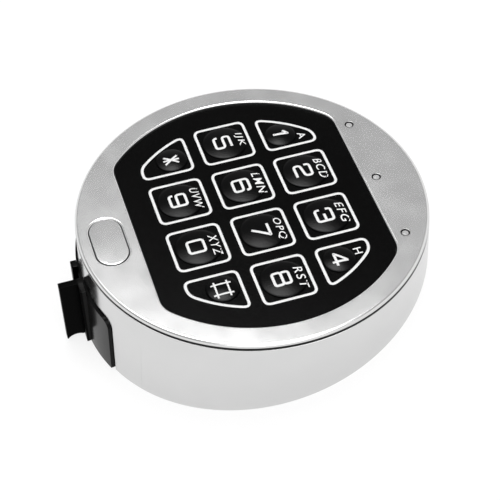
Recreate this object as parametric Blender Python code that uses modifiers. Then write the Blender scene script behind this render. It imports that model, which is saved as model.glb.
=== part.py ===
"""Round keypad entry unit of an electronic safe lock.

A wedge-shaped cast housing stands on a moulded base. Its face carries a twelve-key panel, three
indicator lights and an oval badge plate, and a battery drawer pulls out of its lower side.

Metres. +Z points out of the safe door, +Y to the top of the keypad and +X to its right. The origin
lies where the housing's axis meets the back plane. The face frame has its origin at the centre of
the face, its z out of the face and its y up the keypad.
"""

import math

import bmesh
import bpy
from mathutils import Matrix, Vector

MM = 0.001

# Clearances
seat_gap = 0.3 * MM
film_gap = 0.2 * MM
side_gap = 0.5 * MM
overrun = 4.0 * MM

# Keys
key_pitch_x = 19.3 * MM
key_pitch_y = 19.5 * MM
key_grid_lift = 0.3 * MM
key_radius = 6.7 * MM
corner_key_radius = 4.7 * MM
corner_key_shift_x = 2.0 * MM
corner_key_shift_y = 2.15 * MM
key_hole_gap = 0.25 * MM
key_crown = 0.65 * MM
key_edge = 0.2 * MM
key_flange = 1.0 * MM
key_flange_thickness = 0.5 * MM
key_nub_radius = 1.4 * MM
key_nub_length = 0.2 * MM
key_names = (
    ("key_1", "key_2", "key_3", "key_4"),
    ("key_5", "key_6", "key_7", "key_8"),
    ("key_star", "key_9", "key_0", "key_hash"),
)

# Snap domes, their carrier sheet and the circuit board
dome_radius = 3.2 * MM
dome_height = 0.4 * MM
dome_seat = 0.1 * MM
dome_slack = 0.1 * MM
sheet_thickness = 0.3 * MM
sheet_margin = 1.5 * MM
board_thickness = 1.5 * MM
board_tab_half_width = 26.0 * MM
board_tab_margin = 2.0 * MM
board_edge_gap = 1.0 * MM

# Panel and face
window_margin_x = 4.165 * MM
window_margin_y = 4.3 * MM
ledge_width = 3.0 * MM
ledge_thickness = 1.2 * MM
panel_thickness = 0.8 * MM
panel_sink = 0.8 * MM
panel_corner = 3.5 * MM
rim_band = 7.0 * MM

# Housing
face_tilt = math.radians(9.7)
wall = 2.2 * MM
wall_draft = math.radians(1.8)
rim_round = 1.2 * MM
groove_drop = 0.25 * MM
groove_width = 0.6 * MM
groove_depth = 0.5 * MM
inner_round = 1.5 * MM

# Indicator lights
light_spacing = 23.8 * MM
light_band = 4.2 * MM
pipe_radius = 1.2 * MM
pipe_crown = 0.25 * MM
pipe_sink = 0.2 * MM
led_length = 1.6 * MM
led_width = 0.8 * MM
led_height = 0.4 * MM

# Badge plate
badge_length = 18.5 * MM
badge_width = 9.9 * MM
badge_thickness = 0.8 * MM
badge_band = 8.5 * MM
badge_edge = 0.25 * MM

# Nine-volt block battery
battery_width = 26.5 * MM
battery_thickness = 17.5 * MM
battery_body_length = 45.6 * MM
battery_edge = 1.6 * MM
battery_headroom = 0.35 * MM
terminal_spacing = 12.7 * MM
terminal_length = 2.6 * MM
positive_radius = 2.9 * MM
negative_radius = 4.2 * MM
terminal_bore_radius = 2.2 * MM
terminal_bore_depth = 1.6 * MM

# Battery drawer
drawer_floor = 0.8 * MM
drawer_side = 1.6 * MM
drawer_side_height = 12.7 * MM
drawer_rear_height = 4.6 * MM
drawer_rear_slope = 6.0 * MM
runner_width = 3.4 * MM
runner_thickness = 1.3 * MM
runner_lift = 1.2 * MM
front_thickness = 2.0 * MM
front_proud = 0.75 * MM
front_half_width = 19.2 * MM
front_height = 20.5 * MM
front_foot = 0.4 * MM
front_corner = 3.0 * MM
drawer_overlap = 8.0 * MM
pull_clearance = 1.5 * MM

# Grip on the drawer front: a thin fin between two ears, which all stand a little above its top edge
grip_half_width = 6.6 * MM
grip_rise = 1.8 * MM
grip_clearance = 0.4 * MM
fin_thickness = 2.3 * MM
fin_shift = 1.9 * MM
fin_reach = 6.6 * MM
fin_arch_radius = 3.65 * MM
fin_arch_rise = 0.9 * MM
ear_width = 2.7 * MM
ear_reach = 1.2 * MM

# Window for the drawer in the housing wall
window_side_gap = 0.8 * MM
window_top_gap = 1.2 * MM
window_corner = 3.5 * MM

# Base
base_thickness = 2.4 * MM
channel_floor = 1.0 * MM
rail_thickness = 1.6 * MM
rail_lip = 1.2 * MM
rail_lip_overlap = 2.3 * MM
channel_end = 1.0 * MM
insert_boss_radius = 4.2 * MM
insert_boss_height = 7.0 * MM
insert_x = 31.0 * MM
insert_y = 14.0 * MM
insert_radius = 2.8 * MM
insert_bore_radius = 1.65 * MM
insert_length = 7.5 * MM
cable_opening_length = 15.0 * MM
cable_opening_width = 14.0 * MM
cable_opening_corner = 2.0 * MM

# Screws that hold the base to the housing
base_boss_radius = 3.2 * MM
base_boss_margin = 0.7 * MM
upper_boss_angle = math.radians(75.0)
lower_boss_angle = math.radians(-35.4)
base_screw_radius = 1.3 * MM
base_screw_length = 9.0 * MM
base_screw_head_radius = 2.7 * MM
base_screw_head_height = 1.4 * MM
base_screw_sink = 0.2 * MM
base_drive_width = 0.8 * MM
base_drive_length = 3.0 * MM
base_drive_depth = 0.9 * MM
screw_hole_gap = 0.25 * MM

# Screws that hold the board to the face
board_boss_radius = 2.4 * MM
board_screw_radius = 0.9 * MM
board_screw_head_radius = 1.8 * MM
board_screw_head_height = 1.1 * MM
board_screw_bite = 1.4 * MM
board_drive_width = 0.5 * MM
board_drive_length = 2.0 * MM
board_drive_depth = 0.6 * MM
upper_board_screw_x = 18.5 * MM
lower_board_screw_x = 20.0 * MM
board_screw_inset = 3.4 * MM

# Contact block, its springs and the leads to the board
block_half_width = 11.5 * MM
block_depth = 4.6 * MM
block_height = 15.2 * MM
spring_room = 2.6 * MM
spring_width = 5.6 * MM
spring_thickness = 0.35 * MM
lead_radius = 0.55 * MM
lead_exit_height = 9.0 * MM
lead_run = 3.0 * MM

# Parts under the board
buzzer_radius = 6.0 * MM
buzzer_height = 5.5 * MM
buzzer_hole_radius = 1.0 * MM
buzzer_hole_depth = 1.5 * MM
chip_side = 9.0 * MM
chip_height = 1.4 * MM
chip_edge = 0.2 * MM
capacitor_radius = 2.5 * MM
capacitor_height = 7.0 * MM
capacitor_groove = 0.3 * MM
parts_row_x = 26.0 * MM
parts_row_y = 12.0 * MM
capacitor_x = 19.0 * MM
capacitor_y = 27.0 * MM

# Socket for the lock cable
socket_width = 11.2 * MM
socket_depth = 13.0 * MM
socket_height = 11.5 * MM
socket_clearance = 6.5 * MM
mouth_width = 9.9 * MM
mouth_height = 7.0 * MM
mouth_depth = 9.0 * MM
latch_width = 6.2 * MM
latch_height = 2.0 * MM
mouth_offset = 0.8 * MM

# Cosine and sine of each quarter turn, then numbers of facets
QUARTER_TURNS = ((1, 0), (0, 1), (-1, 0), (0, -1))
turn_steps = 72
key_steps = 24
rod_sides = 20
round_steps = 5

# Distances below the face, measured along its normal
panel_bottom = panel_sink + panel_thickness
recess_depth = panel_bottom + seat_gap
face_thickness = recess_depth + ledge_thickness
key_flange_top = panel_bottom + film_gap
key_flange_bottom = key_flange_top + key_flange_thickness
key_nub_bottom = key_flange_bottom + key_nub_length
dome_top = key_nub_bottom + dome_slack
sheet_top = dome_top + dome_height
sheet_bottom = sheet_top + sheet_thickness
board_top = sheet_bottom + film_gap
board_bottom = board_top + board_thickness

# Outlines in the face plane, from the keys outwards
outer_column_x = (len(key_names[0]) - 1) / 2 * key_pitch_x
corner_key_x = outer_column_x - corner_key_shift_x
corner_key_y = key_grid_lift + key_pitch_y - corner_key_shift_y
corner_reach = math.hypot(corner_key_x, corner_key_y) + corner_key_radius + key_flange
row_reach = outer_column_x + key_radius + key_flange
window_radius = max(corner_reach, row_reach) + window_margin_x
window_half_height = key_grid_lift + key_pitch_y + key_radius + key_flange + window_margin_y
panel_radius = window_radius + ledge_width
panel_half_height = window_half_height + ledge_width
face_radius = panel_radius + rim_band
light_y = panel_half_height + light_band
badge_y = -panel_half_height - badge_band
board_radius = window_radius - board_edge_gap
board_half_height = light_y + board_tab_margin
upper_board_screw_y = board_half_height - board_screw_inset
lower_board_screw_y = -upper_board_screw_y

# Heights above the back plane of the drawer and its battery
tilt_sine = math.sin(face_tilt)
tilt_cosine = math.cos(face_tilt)
tilt_tangent = math.tan(face_tilt)
floor_bottom = channel_floor + seat_gap
floor_top = floor_bottom + drawer_floor
battery_bottom = floor_top + seat_gap
battery_top = battery_bottom + battery_thickness
runner_bottom = floor_bottom + runner_lift
runner_top = runner_bottom + runner_thickness
lip_bottom = runner_top + seat_gap
lip_top = lip_bottom + rail_lip

# Lengths along the drawer's travel. The wall leans, so its place depends on the height.
front_outer = face_radius + front_proud
front_inner = front_outer - front_thickness


def leaning_y(radius, half_width, height):
    """Row-frame y, on the lower side, of a cylinder about the housing's axis."""
    return -math.sqrt(radius**2 - half_width**2) / tilt_cosine + height * tilt_tangent


battery_front = leaning_y(front_inner, battery_width / 2, battery_top) + seat_gap
battery_end = battery_front + battery_body_length
terminal_end = battery_end + film_gap + terminal_length
floor_end = terminal_end + seat_gap
block_front = terminal_end + spring_room
block_back = block_front + block_depth
tray_half_width = battery_width / 2 + seat_gap + drawer_side
runner_half_width = tray_half_width + runner_width
channel_half_width = runner_half_width + seat_gap
rail_half_width = channel_half_width + rail_thickness
lip_half_width = channel_half_width - rail_lip_overlap
rail_front = leaning_y(face_radius - wall, rail_half_width, lip_top) + side_gap
window_half_width = front_half_width + window_side_gap
window_height = front_height + window_top_gap
window_back = leaning_y(face_radius - wall, window_half_width, window_height) + side_gap

# Pulled right out, the battery stands clear of the wall, and the runners still overlap the rails.
drawer_travel = terminal_end + pull_clearance - leaning_y(face_radius, 0.0, battery_top)
drawer_end = rail_front + drawer_overlap + drawer_travel
channel_back = drawer_end + seat_gap + channel_end

# The housing is as deep as the battery, the board and the keys above it need.
centre_depth = (battery_top + battery_headroom) * tilt_cosine + board_bottom + battery_end * tilt_sine
face_centre = Vector((0.0, centre_depth * tilt_sine, centre_depth * tilt_cosine))
lowest_depth = centre_depth + face_radius * tilt_tangent + 2 * overrun


def height_below_face(y, depth):
    """Height above the back plane, at row-frame y, of the plane this deep below the face."""
    return face_centre.z - (depth + tilt_sine * (y - face_centre.y)) / tilt_cosine


def wall_radius(depth):
    """Outer radius of the drafted housing wall at a depth below the face."""
    return face_radius + depth * math.tan(wall_draft)


def row_y(face_y, face_z):
    """Row-frame y of a point given by its y and z in the face frame."""
    return face_centre.y + face_y * tilt_cosine + face_z * tilt_sine


def face_z_at(face_y, height):
    """Face-frame z at which a line along the housing's axis is this high above the back plane."""
    return (height - face_centre.z + face_y * tilt_sine) / tilt_cosine


for old in list(bpy.data.objects):
    bpy.data.objects.remove(old, do_unlink=True)

parts = bpy.data.collections.new("safe_lock_keypad")
cutters = bpy.data.collections.new("cutters")
bpy.context.scene.collection.children.link(parts)
bpy.context.scene.collection.children.link(cutters)

face_frame = bpy.data.objects.new("face_frame", None)
face_frame.location = face_centre
face_frame.rotation_euler = (-face_tilt, 0.0, 0.0)
parts.objects.link(face_frame)


def link(obj, frame, tool):
    """Puts an object in its collection and frame. A tool shape is only used by Booleans."""
    (cutters if tool else parts).objects.link(obj)
    obj.parent = frame
    if tool:
        obj.hide_render = True
        obj.display_type = "WIRE"
    return obj


def mesh_object(name, bm, frame=None, tool=False):
    bmesh.ops.recalc_face_normals(bm, faces=bm.faces)
    mesh = bpy.data.meshes.new(name)
    bm.to_mesh(mesh)
    bm.free()
    return link(bpy.data.objects.new(name, mesh), frame, tool)


def boxes(name, corner_pairs, frame=None, tool=False):
    """One object of separate boxes, each given by its low and its high corner."""
    bm = bmesh.new()
    for low, high in corner_pairs:
        low, high = Vector(low), Vector(high)
        size = Matrix.Diagonal((*(high - low), 1.0))
        bmesh.ops.create_cube(bm, size=1.0, matrix=Matrix.Translation((low + high) / 2) @ size)
    return mesh_object(name, bm, frame, tool)


def box(name, low, high, frame=None, tool=False):
    return boxes(name, [(low, high)], frame, tool)


def rods(name, centres, radius, low, high, frame=None, tool=False, top_radius=None, sides=rod_sides):
    """One object of separate upright rods, or cones where the top radius differs."""
    bm = bmesh.new()
    top = radius if top_radius is None else top_radius
    for x, y in centres:
        place = Matrix.Translation((x, y, (low + high) / 2))
        bmesh.ops.create_cone(
            bm,
            cap_ends=True,
            segments=sides,
            radius1=radius,
            radius2=top,
            depth=high - low,
            matrix=place,
        )
    return mesh_object(name, bm, frame, tool)


def lying_rod(name, radius, centre, half_length, along, frame=None, tool=False, sides=rod_sides):
    """A rod whose axis lies along X or Y."""
    turn = Matrix.Rotation(math.pi / 2, 4, "Y" if along == "X" else "X")
    bm = bmesh.new()
    bmesh.ops.create_cone(
        bm,
        cap_ends=True,
        segments=sides,
        radius1=radius,
        radius2=radius,
        depth=2 * half_length,
        matrix=Matrix.Translation(centre) @ turn,
    )
    return mesh_object(name, bm, frame, tool)


def turned(name, profile, steps, frame=None, tool=False):
    """A profile of (radius, z) points, from the top down its outer side, turned about z."""
    mesh = bpy.data.meshes.new(name)
    points = [(radius, 0.0, z) for radius, z in profile]
    closed = profile[0][0] > 0
    edges = [(i, i + 1) for i in range(len(points) - 1)]
    if closed:
        edges.append((len(points) - 1, 0))
    mesh.from_pydata(points, edges, [])
    obj = link(bpy.data.objects.new(name, mesh), frame, tool)
    screw = obj.modifiers.new("turn", "SCREW")
    screw.steps = steps
    screw.render_steps = steps
    screw.use_merge_vertices = True
    screw.merge_threshold = seat_gap / 100
    return obj


def filled_outline(loops, thickness):
    """A mesh of an outline with inner loops as holes, as thick as given about z = 0."""
    curve = bpy.data.curves.new("outline", "CURVE")
    curve.dimensions = "2D"
    curve.fill_mode = "BOTH"
    curve.extrude = thickness / 2
    for loop in loops:
        spline = curve.splines.new("POLY")
        spline.points.add(len(loop) - 1)
        for point, (x, y) in zip(spline.points, loop):
            point.co = (x, y, 0.0, 1.0)
        spline.use_cyclic_u = True
    flat = bpy.data.objects.new("outline", curve)
    bpy.context.scene.collection.objects.link(flat)
    solid = bpy.data.meshes.new_from_object(flat.evaluated_get(bpy.context.evaluated_depsgraph_get()))
    bpy.data.objects.remove(flat, do_unlink=True)
    bm = bmesh.new()
    bm.from_mesh(solid)
    bpy.data.meshes.remove(solid)
    bmesh.ops.remove_doubles(bm, verts=bm.verts, dist=seat_gap / 100)
    return bm


def extruded_outline(points, thickness):
    """A mesh of a plain outline, as thick as given about z = 0."""
    bm = bmesh.new()
    face = bm.faces.new([bm.verts.new((x, y, -thickness / 2)) for x, y in points])
    raised = bmesh.ops.extrude_face_region(bm, geom=[face])["geom"]
    top = [item for item in raised if isinstance(item, bmesh.types.BMVert)]
    bmesh.ops.translate(bm, verts=top, vec=(0.0, 0.0, thickness))
    return bm


def plate(name, loops, low, high, frame=None, tool=False, turn=None):
    """A flat outline, with any inner loops as holes, that runs from low to high along z."""
    if len(loops) > 1:
        bm = filled_outline(loops, high - low)
    else:
        bm = extruded_outline(loops[0], high - low)
    place = (turn or Matrix()) @ Matrix.Translation((0.0, 0.0, (low + high) / 2))
    bmesh.ops.transform(bm, matrix=place, verts=bm.verts)
    return mesh_object(name, bm, frame, tool)


def arc(centre_x, centre_y, radius, start, end, steps=round_steps):
    """Points along an arc, both ends included."""
    angles = [start + (end - start) * i / steps for i in range(steps + 1)]
    return [(centre_x + radius * math.cos(a), centre_y + radius * math.sin(a)) for a in angles]


def rounded_rectangle(half_x, half_y, radius):
    points = []
    for quarter, (side_x, side_y) in enumerate(((1, 1), (-1, 1), (-1, -1), (1, -1))):
        start = quarter * math.pi / 2
        x = side_x * (half_x - radius)
        y = side_y * (half_y - radius)
        points += arc(x, y, radius, start, start + math.pi / 2)
    return points


def stadium(half_x, radius):
    """An outline with straight long sides along x and half-round ends."""
    centre = half_x - radius
    right = arc(centre, 0.0, radius, -math.pi / 2, math.pi / 2, 3 * round_steps)
    left = arc(-centre, 0.0, radius, math.pi / 2, 3 * math.pi / 2, 3 * round_steps)
    return right + left


def disc_with_flats(radius, half_height, corner, arc_steps=20):
    """A disc cut by two level chords, with its four corners rounded."""
    x = math.sqrt((radius - corner) ** 2 - (half_height - corner) ** 2)
    y = half_height - corner
    meeting = math.atan2(y, x)
    side = arc(0.0, 0.0, radius, -meeting, meeting, arc_steps)
    upper_right = arc(x, y, corner, meeting, math.pi / 2)[1:]
    quarter = side + upper_right
    left = [(-px, -py) for px, py in quarter]
    lower_right = arc(x, -y, corner, -math.pi / 2, -meeting)[:-1]
    upper_left = [(-px, -py) for px, py in lower_right]
    return lower_right + quarter + upper_left + left


def mirrored_x(points):
    return [(-x, y) for x, y in reversed(points)]


def boolean(target, tool, operation):
    modifier = target.modifiers.new(tool.name, "BOOLEAN")
    modifier.operation = operation
    modifier.object = tool
    modifier.solver = "EXACT"


def cut(target, *tools):
    for tool in tools:
        boolean(target, tool, "DIFFERENCE")


def join(target, *tools):
    for tool in tools:
        boolean(target, tool, "UNION")


def keep_inside(target, *tools):
    for tool in tools:
        boolean(target, tool, "INTERSECT")


def round_edges(obj, width, segments=2):
    bevel = obj.modifiers.new("rounded_edges", "BEVEL")
    bevel.width = width
    bevel.segments = segments
    bevel.limit_method = "ANGLE"
    bevel.angle_limit = math.radians(50.0)


def finish_material(name, colour, roughness, metallic, alpha=1.0):
    material = bpy.data.materials.new(name)
    material.use_nodes = True
    shader = material.node_tree.nodes["Principled BSDF"]
    shader.inputs["Base Color"].default_value = (*colour, 1.0)
    shader.inputs["Roughness"].default_value = roughness
    shader.inputs["Metallic"].default_value = metallic
    shader.inputs["Alpha"].default_value = alpha
    return material


chrome = finish_material("satin_chrome", (0.72, 0.72, 0.73), 0.22, 1.0)
panel_black = finish_material("gloss_panel", (0.012, 0.012, 0.014), 0.25, 0.0)
key_black = finish_material("gloss_key", (0.015, 0.015, 0.017), 0.2, 0.0)
moulded_black = finish_material("moulded_black", (0.02, 0.02, 0.022), 0.45, 0.0)
drawer_black = finish_material("drawer_black", (0.015, 0.015, 0.016), 0.35, 0.0)
clear_lens = finish_material("clear_lens", (0.85, 0.85, 0.85), 0.15, 0.0, 0.5)
led_body = finish_material("led_body", (0.8, 0.78, 0.6), 0.4, 0.0)
board_green = finish_material("board_green", (0.02, 0.16, 0.06), 0.4, 0.0)
film_amber = finish_material("film_amber", (0.55, 0.5, 0.4), 0.35, 0.0)
steel = finish_material("screw_steel", (0.55, 0.55, 0.56), 0.35, 1.0)
brass = finish_material("insert_brass", (0.75, 0.58, 0.3), 0.35, 1.0)
spring_nickel = finish_material("spring_nickel", (0.7, 0.68, 0.62), 0.3, 1.0)
battery_jacket = finish_material("battery_jacket", (0.25, 0.26, 0.28), 0.4, 0.6)
capacitor_sleeve = finish_material("capacitor_sleeve", (0.03, 0.04, 0.1), 0.4, 0.0)
lead_red = finish_material("lead_red", (0.55, 0.02, 0.02), 0.5, 0.0)
lead_black = finish_material("lead_black", (0.02, 0.02, 0.02), 0.5, 0.0)


def finished(obj, material):
    obj.data.materials.append(material)
    return obj


def key_places():
    """Name, x, y and radius of each key, in the face frame. Corner keys are smaller and drawn in."""
    places = []
    for row, names in enumerate(key_names):
        for column, name in enumerate(names):
            x = (column - (len(names) - 1) / 2) * key_pitch_x
            y = (1 - row) * key_pitch_y
            radius = key_radius
            if row in (0, 2) and column in (0, 3):
                x -= math.copysign(corner_key_shift_x, x)
                y -= math.copysign(corner_key_shift_y, y)
                radius = corner_key_radius
            places.append((name, x, y + key_grid_lift, radius))
    return places


def light_places():
    return [(-light_spacing, light_y), (0.0, light_y), (light_spacing, light_y)]


def board_screw_places():
    upper = [(side * upper_board_screw_x, upper_board_screw_y) for side in (-1, 1)]
    lower = [(side * lower_board_screw_x, lower_board_screw_y) for side in (-1, 1)]
    return upper + lower


def base_screw_places():
    """Places in the row frame. The housing leans, so each boss is set where it comes nearest the wall."""
    reach = face_radius - wall - base_boss_radius - base_boss_margin
    upper_x = reach * math.cos(upper_boss_angle)
    upper_face_y = reach * math.sin(upper_boss_angle)
    upper_y = row_y(upper_face_y, face_z_at(upper_face_y, base_thickness))
    lower_x = reach * math.cos(lower_boss_angle)
    lower_y = row_y(reach * math.sin(lower_boss_angle), -face_thickness)
    return [(-upper_x, upper_y), (upper_x, upper_y), (-lower_x, lower_y), (lower_x, lower_y)]


def side_outline(name, points, half_width, centre_x=0.0, frame=None, tool=False):
    """An outline in the y-z plane, extruded across x."""
    turn = Matrix(((0, 0, 1, 0), (1, 0, 0, 0), (0, 1, 0, 0), (0, 0, 0, 1)))
    low = centre_x - half_width
    return plate(name, [points], low, centre_x + half_width, frame, tool, turn)


def front_outline(name, points, low, high, frame=None, tool=False):
    """An outline in the x-z plane, extruded along y from low to high."""
    turn = Matrix(((1, 0, 0, 0), (0, 0, -1, 0), (0, 1, 0, 0), (0, 0, 0, 1)))
    return plate(name, [points], -high, -low, frame, tool, turn)


def below_plane(name, height):
    """A block that takes everything lower than this height above the back plane."""
    reach = face_radius + 4 * overrun
    return box(name, (-reach, -reach - fin_reach, -lowest_depth), (reach, reach, height), tool=True)


def arched_opening(half_width, height, corner):
    """An x-z outline open at the foot, with its two upper corners rounded."""
    upper = arc(half_width - corner, height - corner, corner, 0.0, math.pi / 2)
    return [(half_width, -overrun)] + upper + mirrored_x([(half_width, -overrun)] + upper)


def make_housing():
    groove_top = rim_round + groove_drop
    groove_bottom = groove_top + groove_width
    rim = arc(face_radius - rim_round, -rim_round, rim_round, math.pi / 2, 0.0)
    inner = wall_radius(face_thickness) - wall
    profile = [(0.0, 0.0)] + rim
    profile += [
        (face_radius, -groove_top),
        (face_radius - groove_depth, -groove_top),
        (face_radius - groove_depth, -groove_bottom),
        (wall_radius(groove_bottom), -groove_bottom),
        (wall_radius(lowest_depth), -lowest_depth),
        (wall_radius(lowest_depth) - wall, -lowest_depth),
        (inner, -face_thickness - inner_round),
        (inner - inner_round, -face_thickness),
        (0.0, -face_thickness),
    ]
    housing = turned("housing", profile, turn_steps, face_frame)

    board_bosses = rods(
        "board_bosses",
        board_screw_places(),
        board_boss_radius,
        -board_top + seat_gap,
        -recess_depth,
        face_frame,
        tool=True,
    )
    join(housing, board_bosses)
    for i, (x, y) in enumerate(base_screw_places()):
        top = height_below_face(y, face_thickness / 2)
        low = base_thickness + seat_gap
        join(housing, rods(f"base_boss_{i}", [(x, y)], base_boss_radius, low, top, tool=True))

    recess = disc_with_flats(panel_radius + seat_gap, panel_half_height + seat_gap, panel_corner)
    opening = disc_with_flats(window_radius, window_half_height, panel_corner)
    badge = [(x, y + badge_y) for x, y in stadium(badge_length / 2, badge_width / 2)]
    pilot_radius = board_screw_radius + screw_hole_gap
    base_pilot_radius = base_screw_radius + screw_hole_gap
    cut(
        housing,
        below_plane("back_plane_cut", 0.0),
        plate("panel_recess", [recess], -recess_depth, overrun, face_frame, tool=True),
        plate("key_window", [opening], -face_thickness - seat_gap, overrun, face_frame, tool=True),
        plate("badge_recess", [badge], -badge_thickness - seat_gap, overrun, face_frame, tool=True),
        rods(
            "light_holes",
            light_places(),
            pipe_radius + key_hole_gap,
            -face_thickness - overrun,
            overrun,
            face_frame,
            tool=True,
            sides=16,
        ),
        rods(
            "board_pilots",
            board_screw_places(),
            pilot_radius,
            -board_top - overrun,
            -board_top + board_screw_bite + seat_gap,
            face_frame,
            tool=True,
            sides=12,
        ),
        rods(
            "base_pilots",
            base_screw_places(),
            base_pilot_radius,
            -overrun,
            base_screw_length + seat_gap,
            tool=True,
            sides=12,
        ),
        front_outline(
            "drawer_window",
            arched_opening(window_half_width, window_height, window_corner),
            -face_radius - overrun - lowest_depth * tilt_tangent,
            window_back,
            tool=True,
        ),
    )
    return finished(housing, chrome)


def circle(x, y, radius, sides):
    return arc(x, y, radius, 0.0, 2 * math.pi, sides)[:-1]


def make_panel():
    outline = disc_with_flats(panel_radius, panel_half_height, panel_corner)
    holes = [circle(x, y, radius + key_hole_gap, key_steps) for _, x, y, radius in key_places()]
    panel = plate("keypad_panel", [outline] + holes, -panel_bottom, -panel_sink, face_frame)
    return finished(panel, panel_black)


def dome_profile(radius, edge, crown, steps=3):
    """A spherical cap over a short edge, from its top outwards."""
    rise = crown - edge
    sphere = (radius**2 + rise**2) / (2 * rise)
    spread = math.asin(radius / sphere)
    angles = [spread * i / steps for i in range(steps + 1)]
    return [(sphere * math.sin(a), crown - sphere * (1 - math.cos(a))) for a in angles]


def make_keys():
    """Each key's origin lies on its own axis, at the height of the panel's surface."""
    top = key_flange_top - panel_sink
    bottom = key_flange_bottom - panel_sink
    nub = key_nub_bottom - panel_sink
    for name, x, y, radius in key_places():
        profile = dome_profile(radius, key_edge, key_crown)
        profile += [
            (radius, -top),
            (radius + key_flange, -top),
            (radius + key_flange, -bottom),
            (key_nub_radius, -bottom),
            (key_nub_radius, -nub),
            (0.0, -nub),
        ]
        key = turned(name, profile, key_steps, face_frame)
        key.location = (x, y, -panel_sink)
        finished(key, key_black)


def make_dome_sheet():
    outline = disc_with_flats(
        window_radius - sheet_margin, window_half_height - sheet_margin, panel_corner
    )
    sheet = plate("dome_sheet", [outline], -sheet_bottom, -sheet_top, face_frame)
    for name, x, y, _ in key_places():
        profile = dome_profile(dome_radius, 0.0, dome_height + dome_seat)
        profile = [(r, z - sheet_top - dome_seat) for r, z in profile]
        profile.append((0.0, -sheet_top - dome_seat))
        dome = turned(name + "_dome", profile, 12, face_frame, tool=True)
        dome.location = (x, y, 0.0)
        join(sheet, dome)
    return finished(sheet, film_amber)


def make_board():
    """A round board with an upper and a lower tab, and notches round the upper housing bosses."""
    board = rods(
        "circuit_board",
        [(0.0, 0.0)],
        board_radius,
        -board_bottom,
        -board_top,
        face_frame,
        sides=turn_steps,
    )
    tab = rounded_rectangle(board_tab_half_width, board_half_height, board_edge_gap)
    join(board, plate("board_tab", [tab], -board_bottom, -board_top, face_frame, tool=True))
    notch_radius = base_boss_radius + board_edge_gap
    upper_bosses = base_screw_places()[:2]
    cut(
        board,
        rods("board_notches", upper_bosses, notch_radius, 0.0, lowest_depth, tool=True),
        rods(
            "board_screw_holes",
            board_screw_places(),
            board_screw_radius + screw_hole_gap,
            -board_bottom - overrun,
            overrun,
            face_frame,
            tool=True,
            sides=12,
        ),
    )
    return finished(board, board_green)


def make_lights():
    for side, (x, y) in zip(("left", "middle", "right"), light_places()):
        top = dome_profile(pipe_radius, 0.0, pipe_crown)
        profile = [(r, z - pipe_sink) for r, z in top]
        bottom = board_top - led_height - seat_gap - film_gap
        profile += [(pipe_radius, -bottom), (0.0, -bottom)]
        pipe = turned(f"light_pipe_{side}", profile, 16, face_frame)
        pipe.location = (x, y, 0.0)
        finished(pipe, clear_lens)
        low = (x - led_length / 2, y - led_width / 2, -board_top + film_gap)
        high = (x + led_length / 2, y + led_width / 2, -board_top + film_gap + led_height)
        finished(box(f"indicator_led_{side}", low, high, face_frame), led_body)


def make_badge():
    outline = stadium(badge_length / 2 - badge_edge, badge_width / 2 - badge_edge)
    outline = [(x, y + badge_y) for x, y in outline]
    return finished(plate("badge_plate", [outline], -badge_thickness, 0.0, face_frame), chrome)


def screw_profile(head_radius, head_height, radius, length, countersunk):
    """Head up at z = 0, shank down. A countersunk head tapers into the shank."""
    if countersunk:
        return [(0.0, 0.0), (head_radius, 0.0), (radius, -head_height), (radius, -length), (0.0, -length)]
    shoulder = head_radius - head_height / 3
    return [
        (0.0, 0.0),
        (shoulder, 0.0),
        (head_radius, -head_height / 3),
        (head_radius, -head_height),
        (radius, -head_height),
        (radius, -length),
        (0.0, -length),
    ]


def add_cross_recess(screw, width, length, depth, frame):
    """A cross-shaped drive recess in the top of a screw's head."""
    arm, half = width / 2, length / 2
    corner = [(half, -arm), (half, arm), (arm, arm)]
    outline = [(x * c - y * s, x * s + y * c) for c, s in QUARTER_TURNS for x, y in corner]
    recess = plate(screw.name + "_recess", [outline], -depth, overrun, frame, tool=True)
    recess.location = screw.location
    recess.rotation_euler = screw.rotation_euler
    cut(screw, recess)


def make_screws():
    head = base_screw_head_height
    profile = screw_profile(
        base_screw_head_radius, head, base_screw_radius, base_screw_length - base_screw_sink, True
    )
    for number, (x, y) in enumerate(base_screw_places(), 1):
        screw = turned(f"base_screw_{number}", profile, 16)
        screw.location = (x, y, base_screw_sink)
        screw.rotation_euler = (math.pi, 0.0, 0.0)
        add_cross_recess(screw, base_drive_width, base_drive_length, base_drive_depth, None)
        finished(screw, steel)
    length = board_screw_head_height + film_gap + board_thickness + board_screw_bite
    profile = screw_profile(
        board_screw_head_radius, board_screw_head_height, board_screw_radius, length, False
    )
    for number, (x, y) in enumerate(board_screw_places(), 1):
        screw = turned(f"board_screw_{number}", profile, 16, face_frame)
        screw.location = (x, y, -board_bottom - film_gap - board_screw_head_height)
        screw.rotation_euler = (math.pi, 0.0, 0.0)
        add_cross_recess(screw, board_drive_width, board_drive_length, board_drive_depth, face_frame)
        finished(screw, steel)


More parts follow.
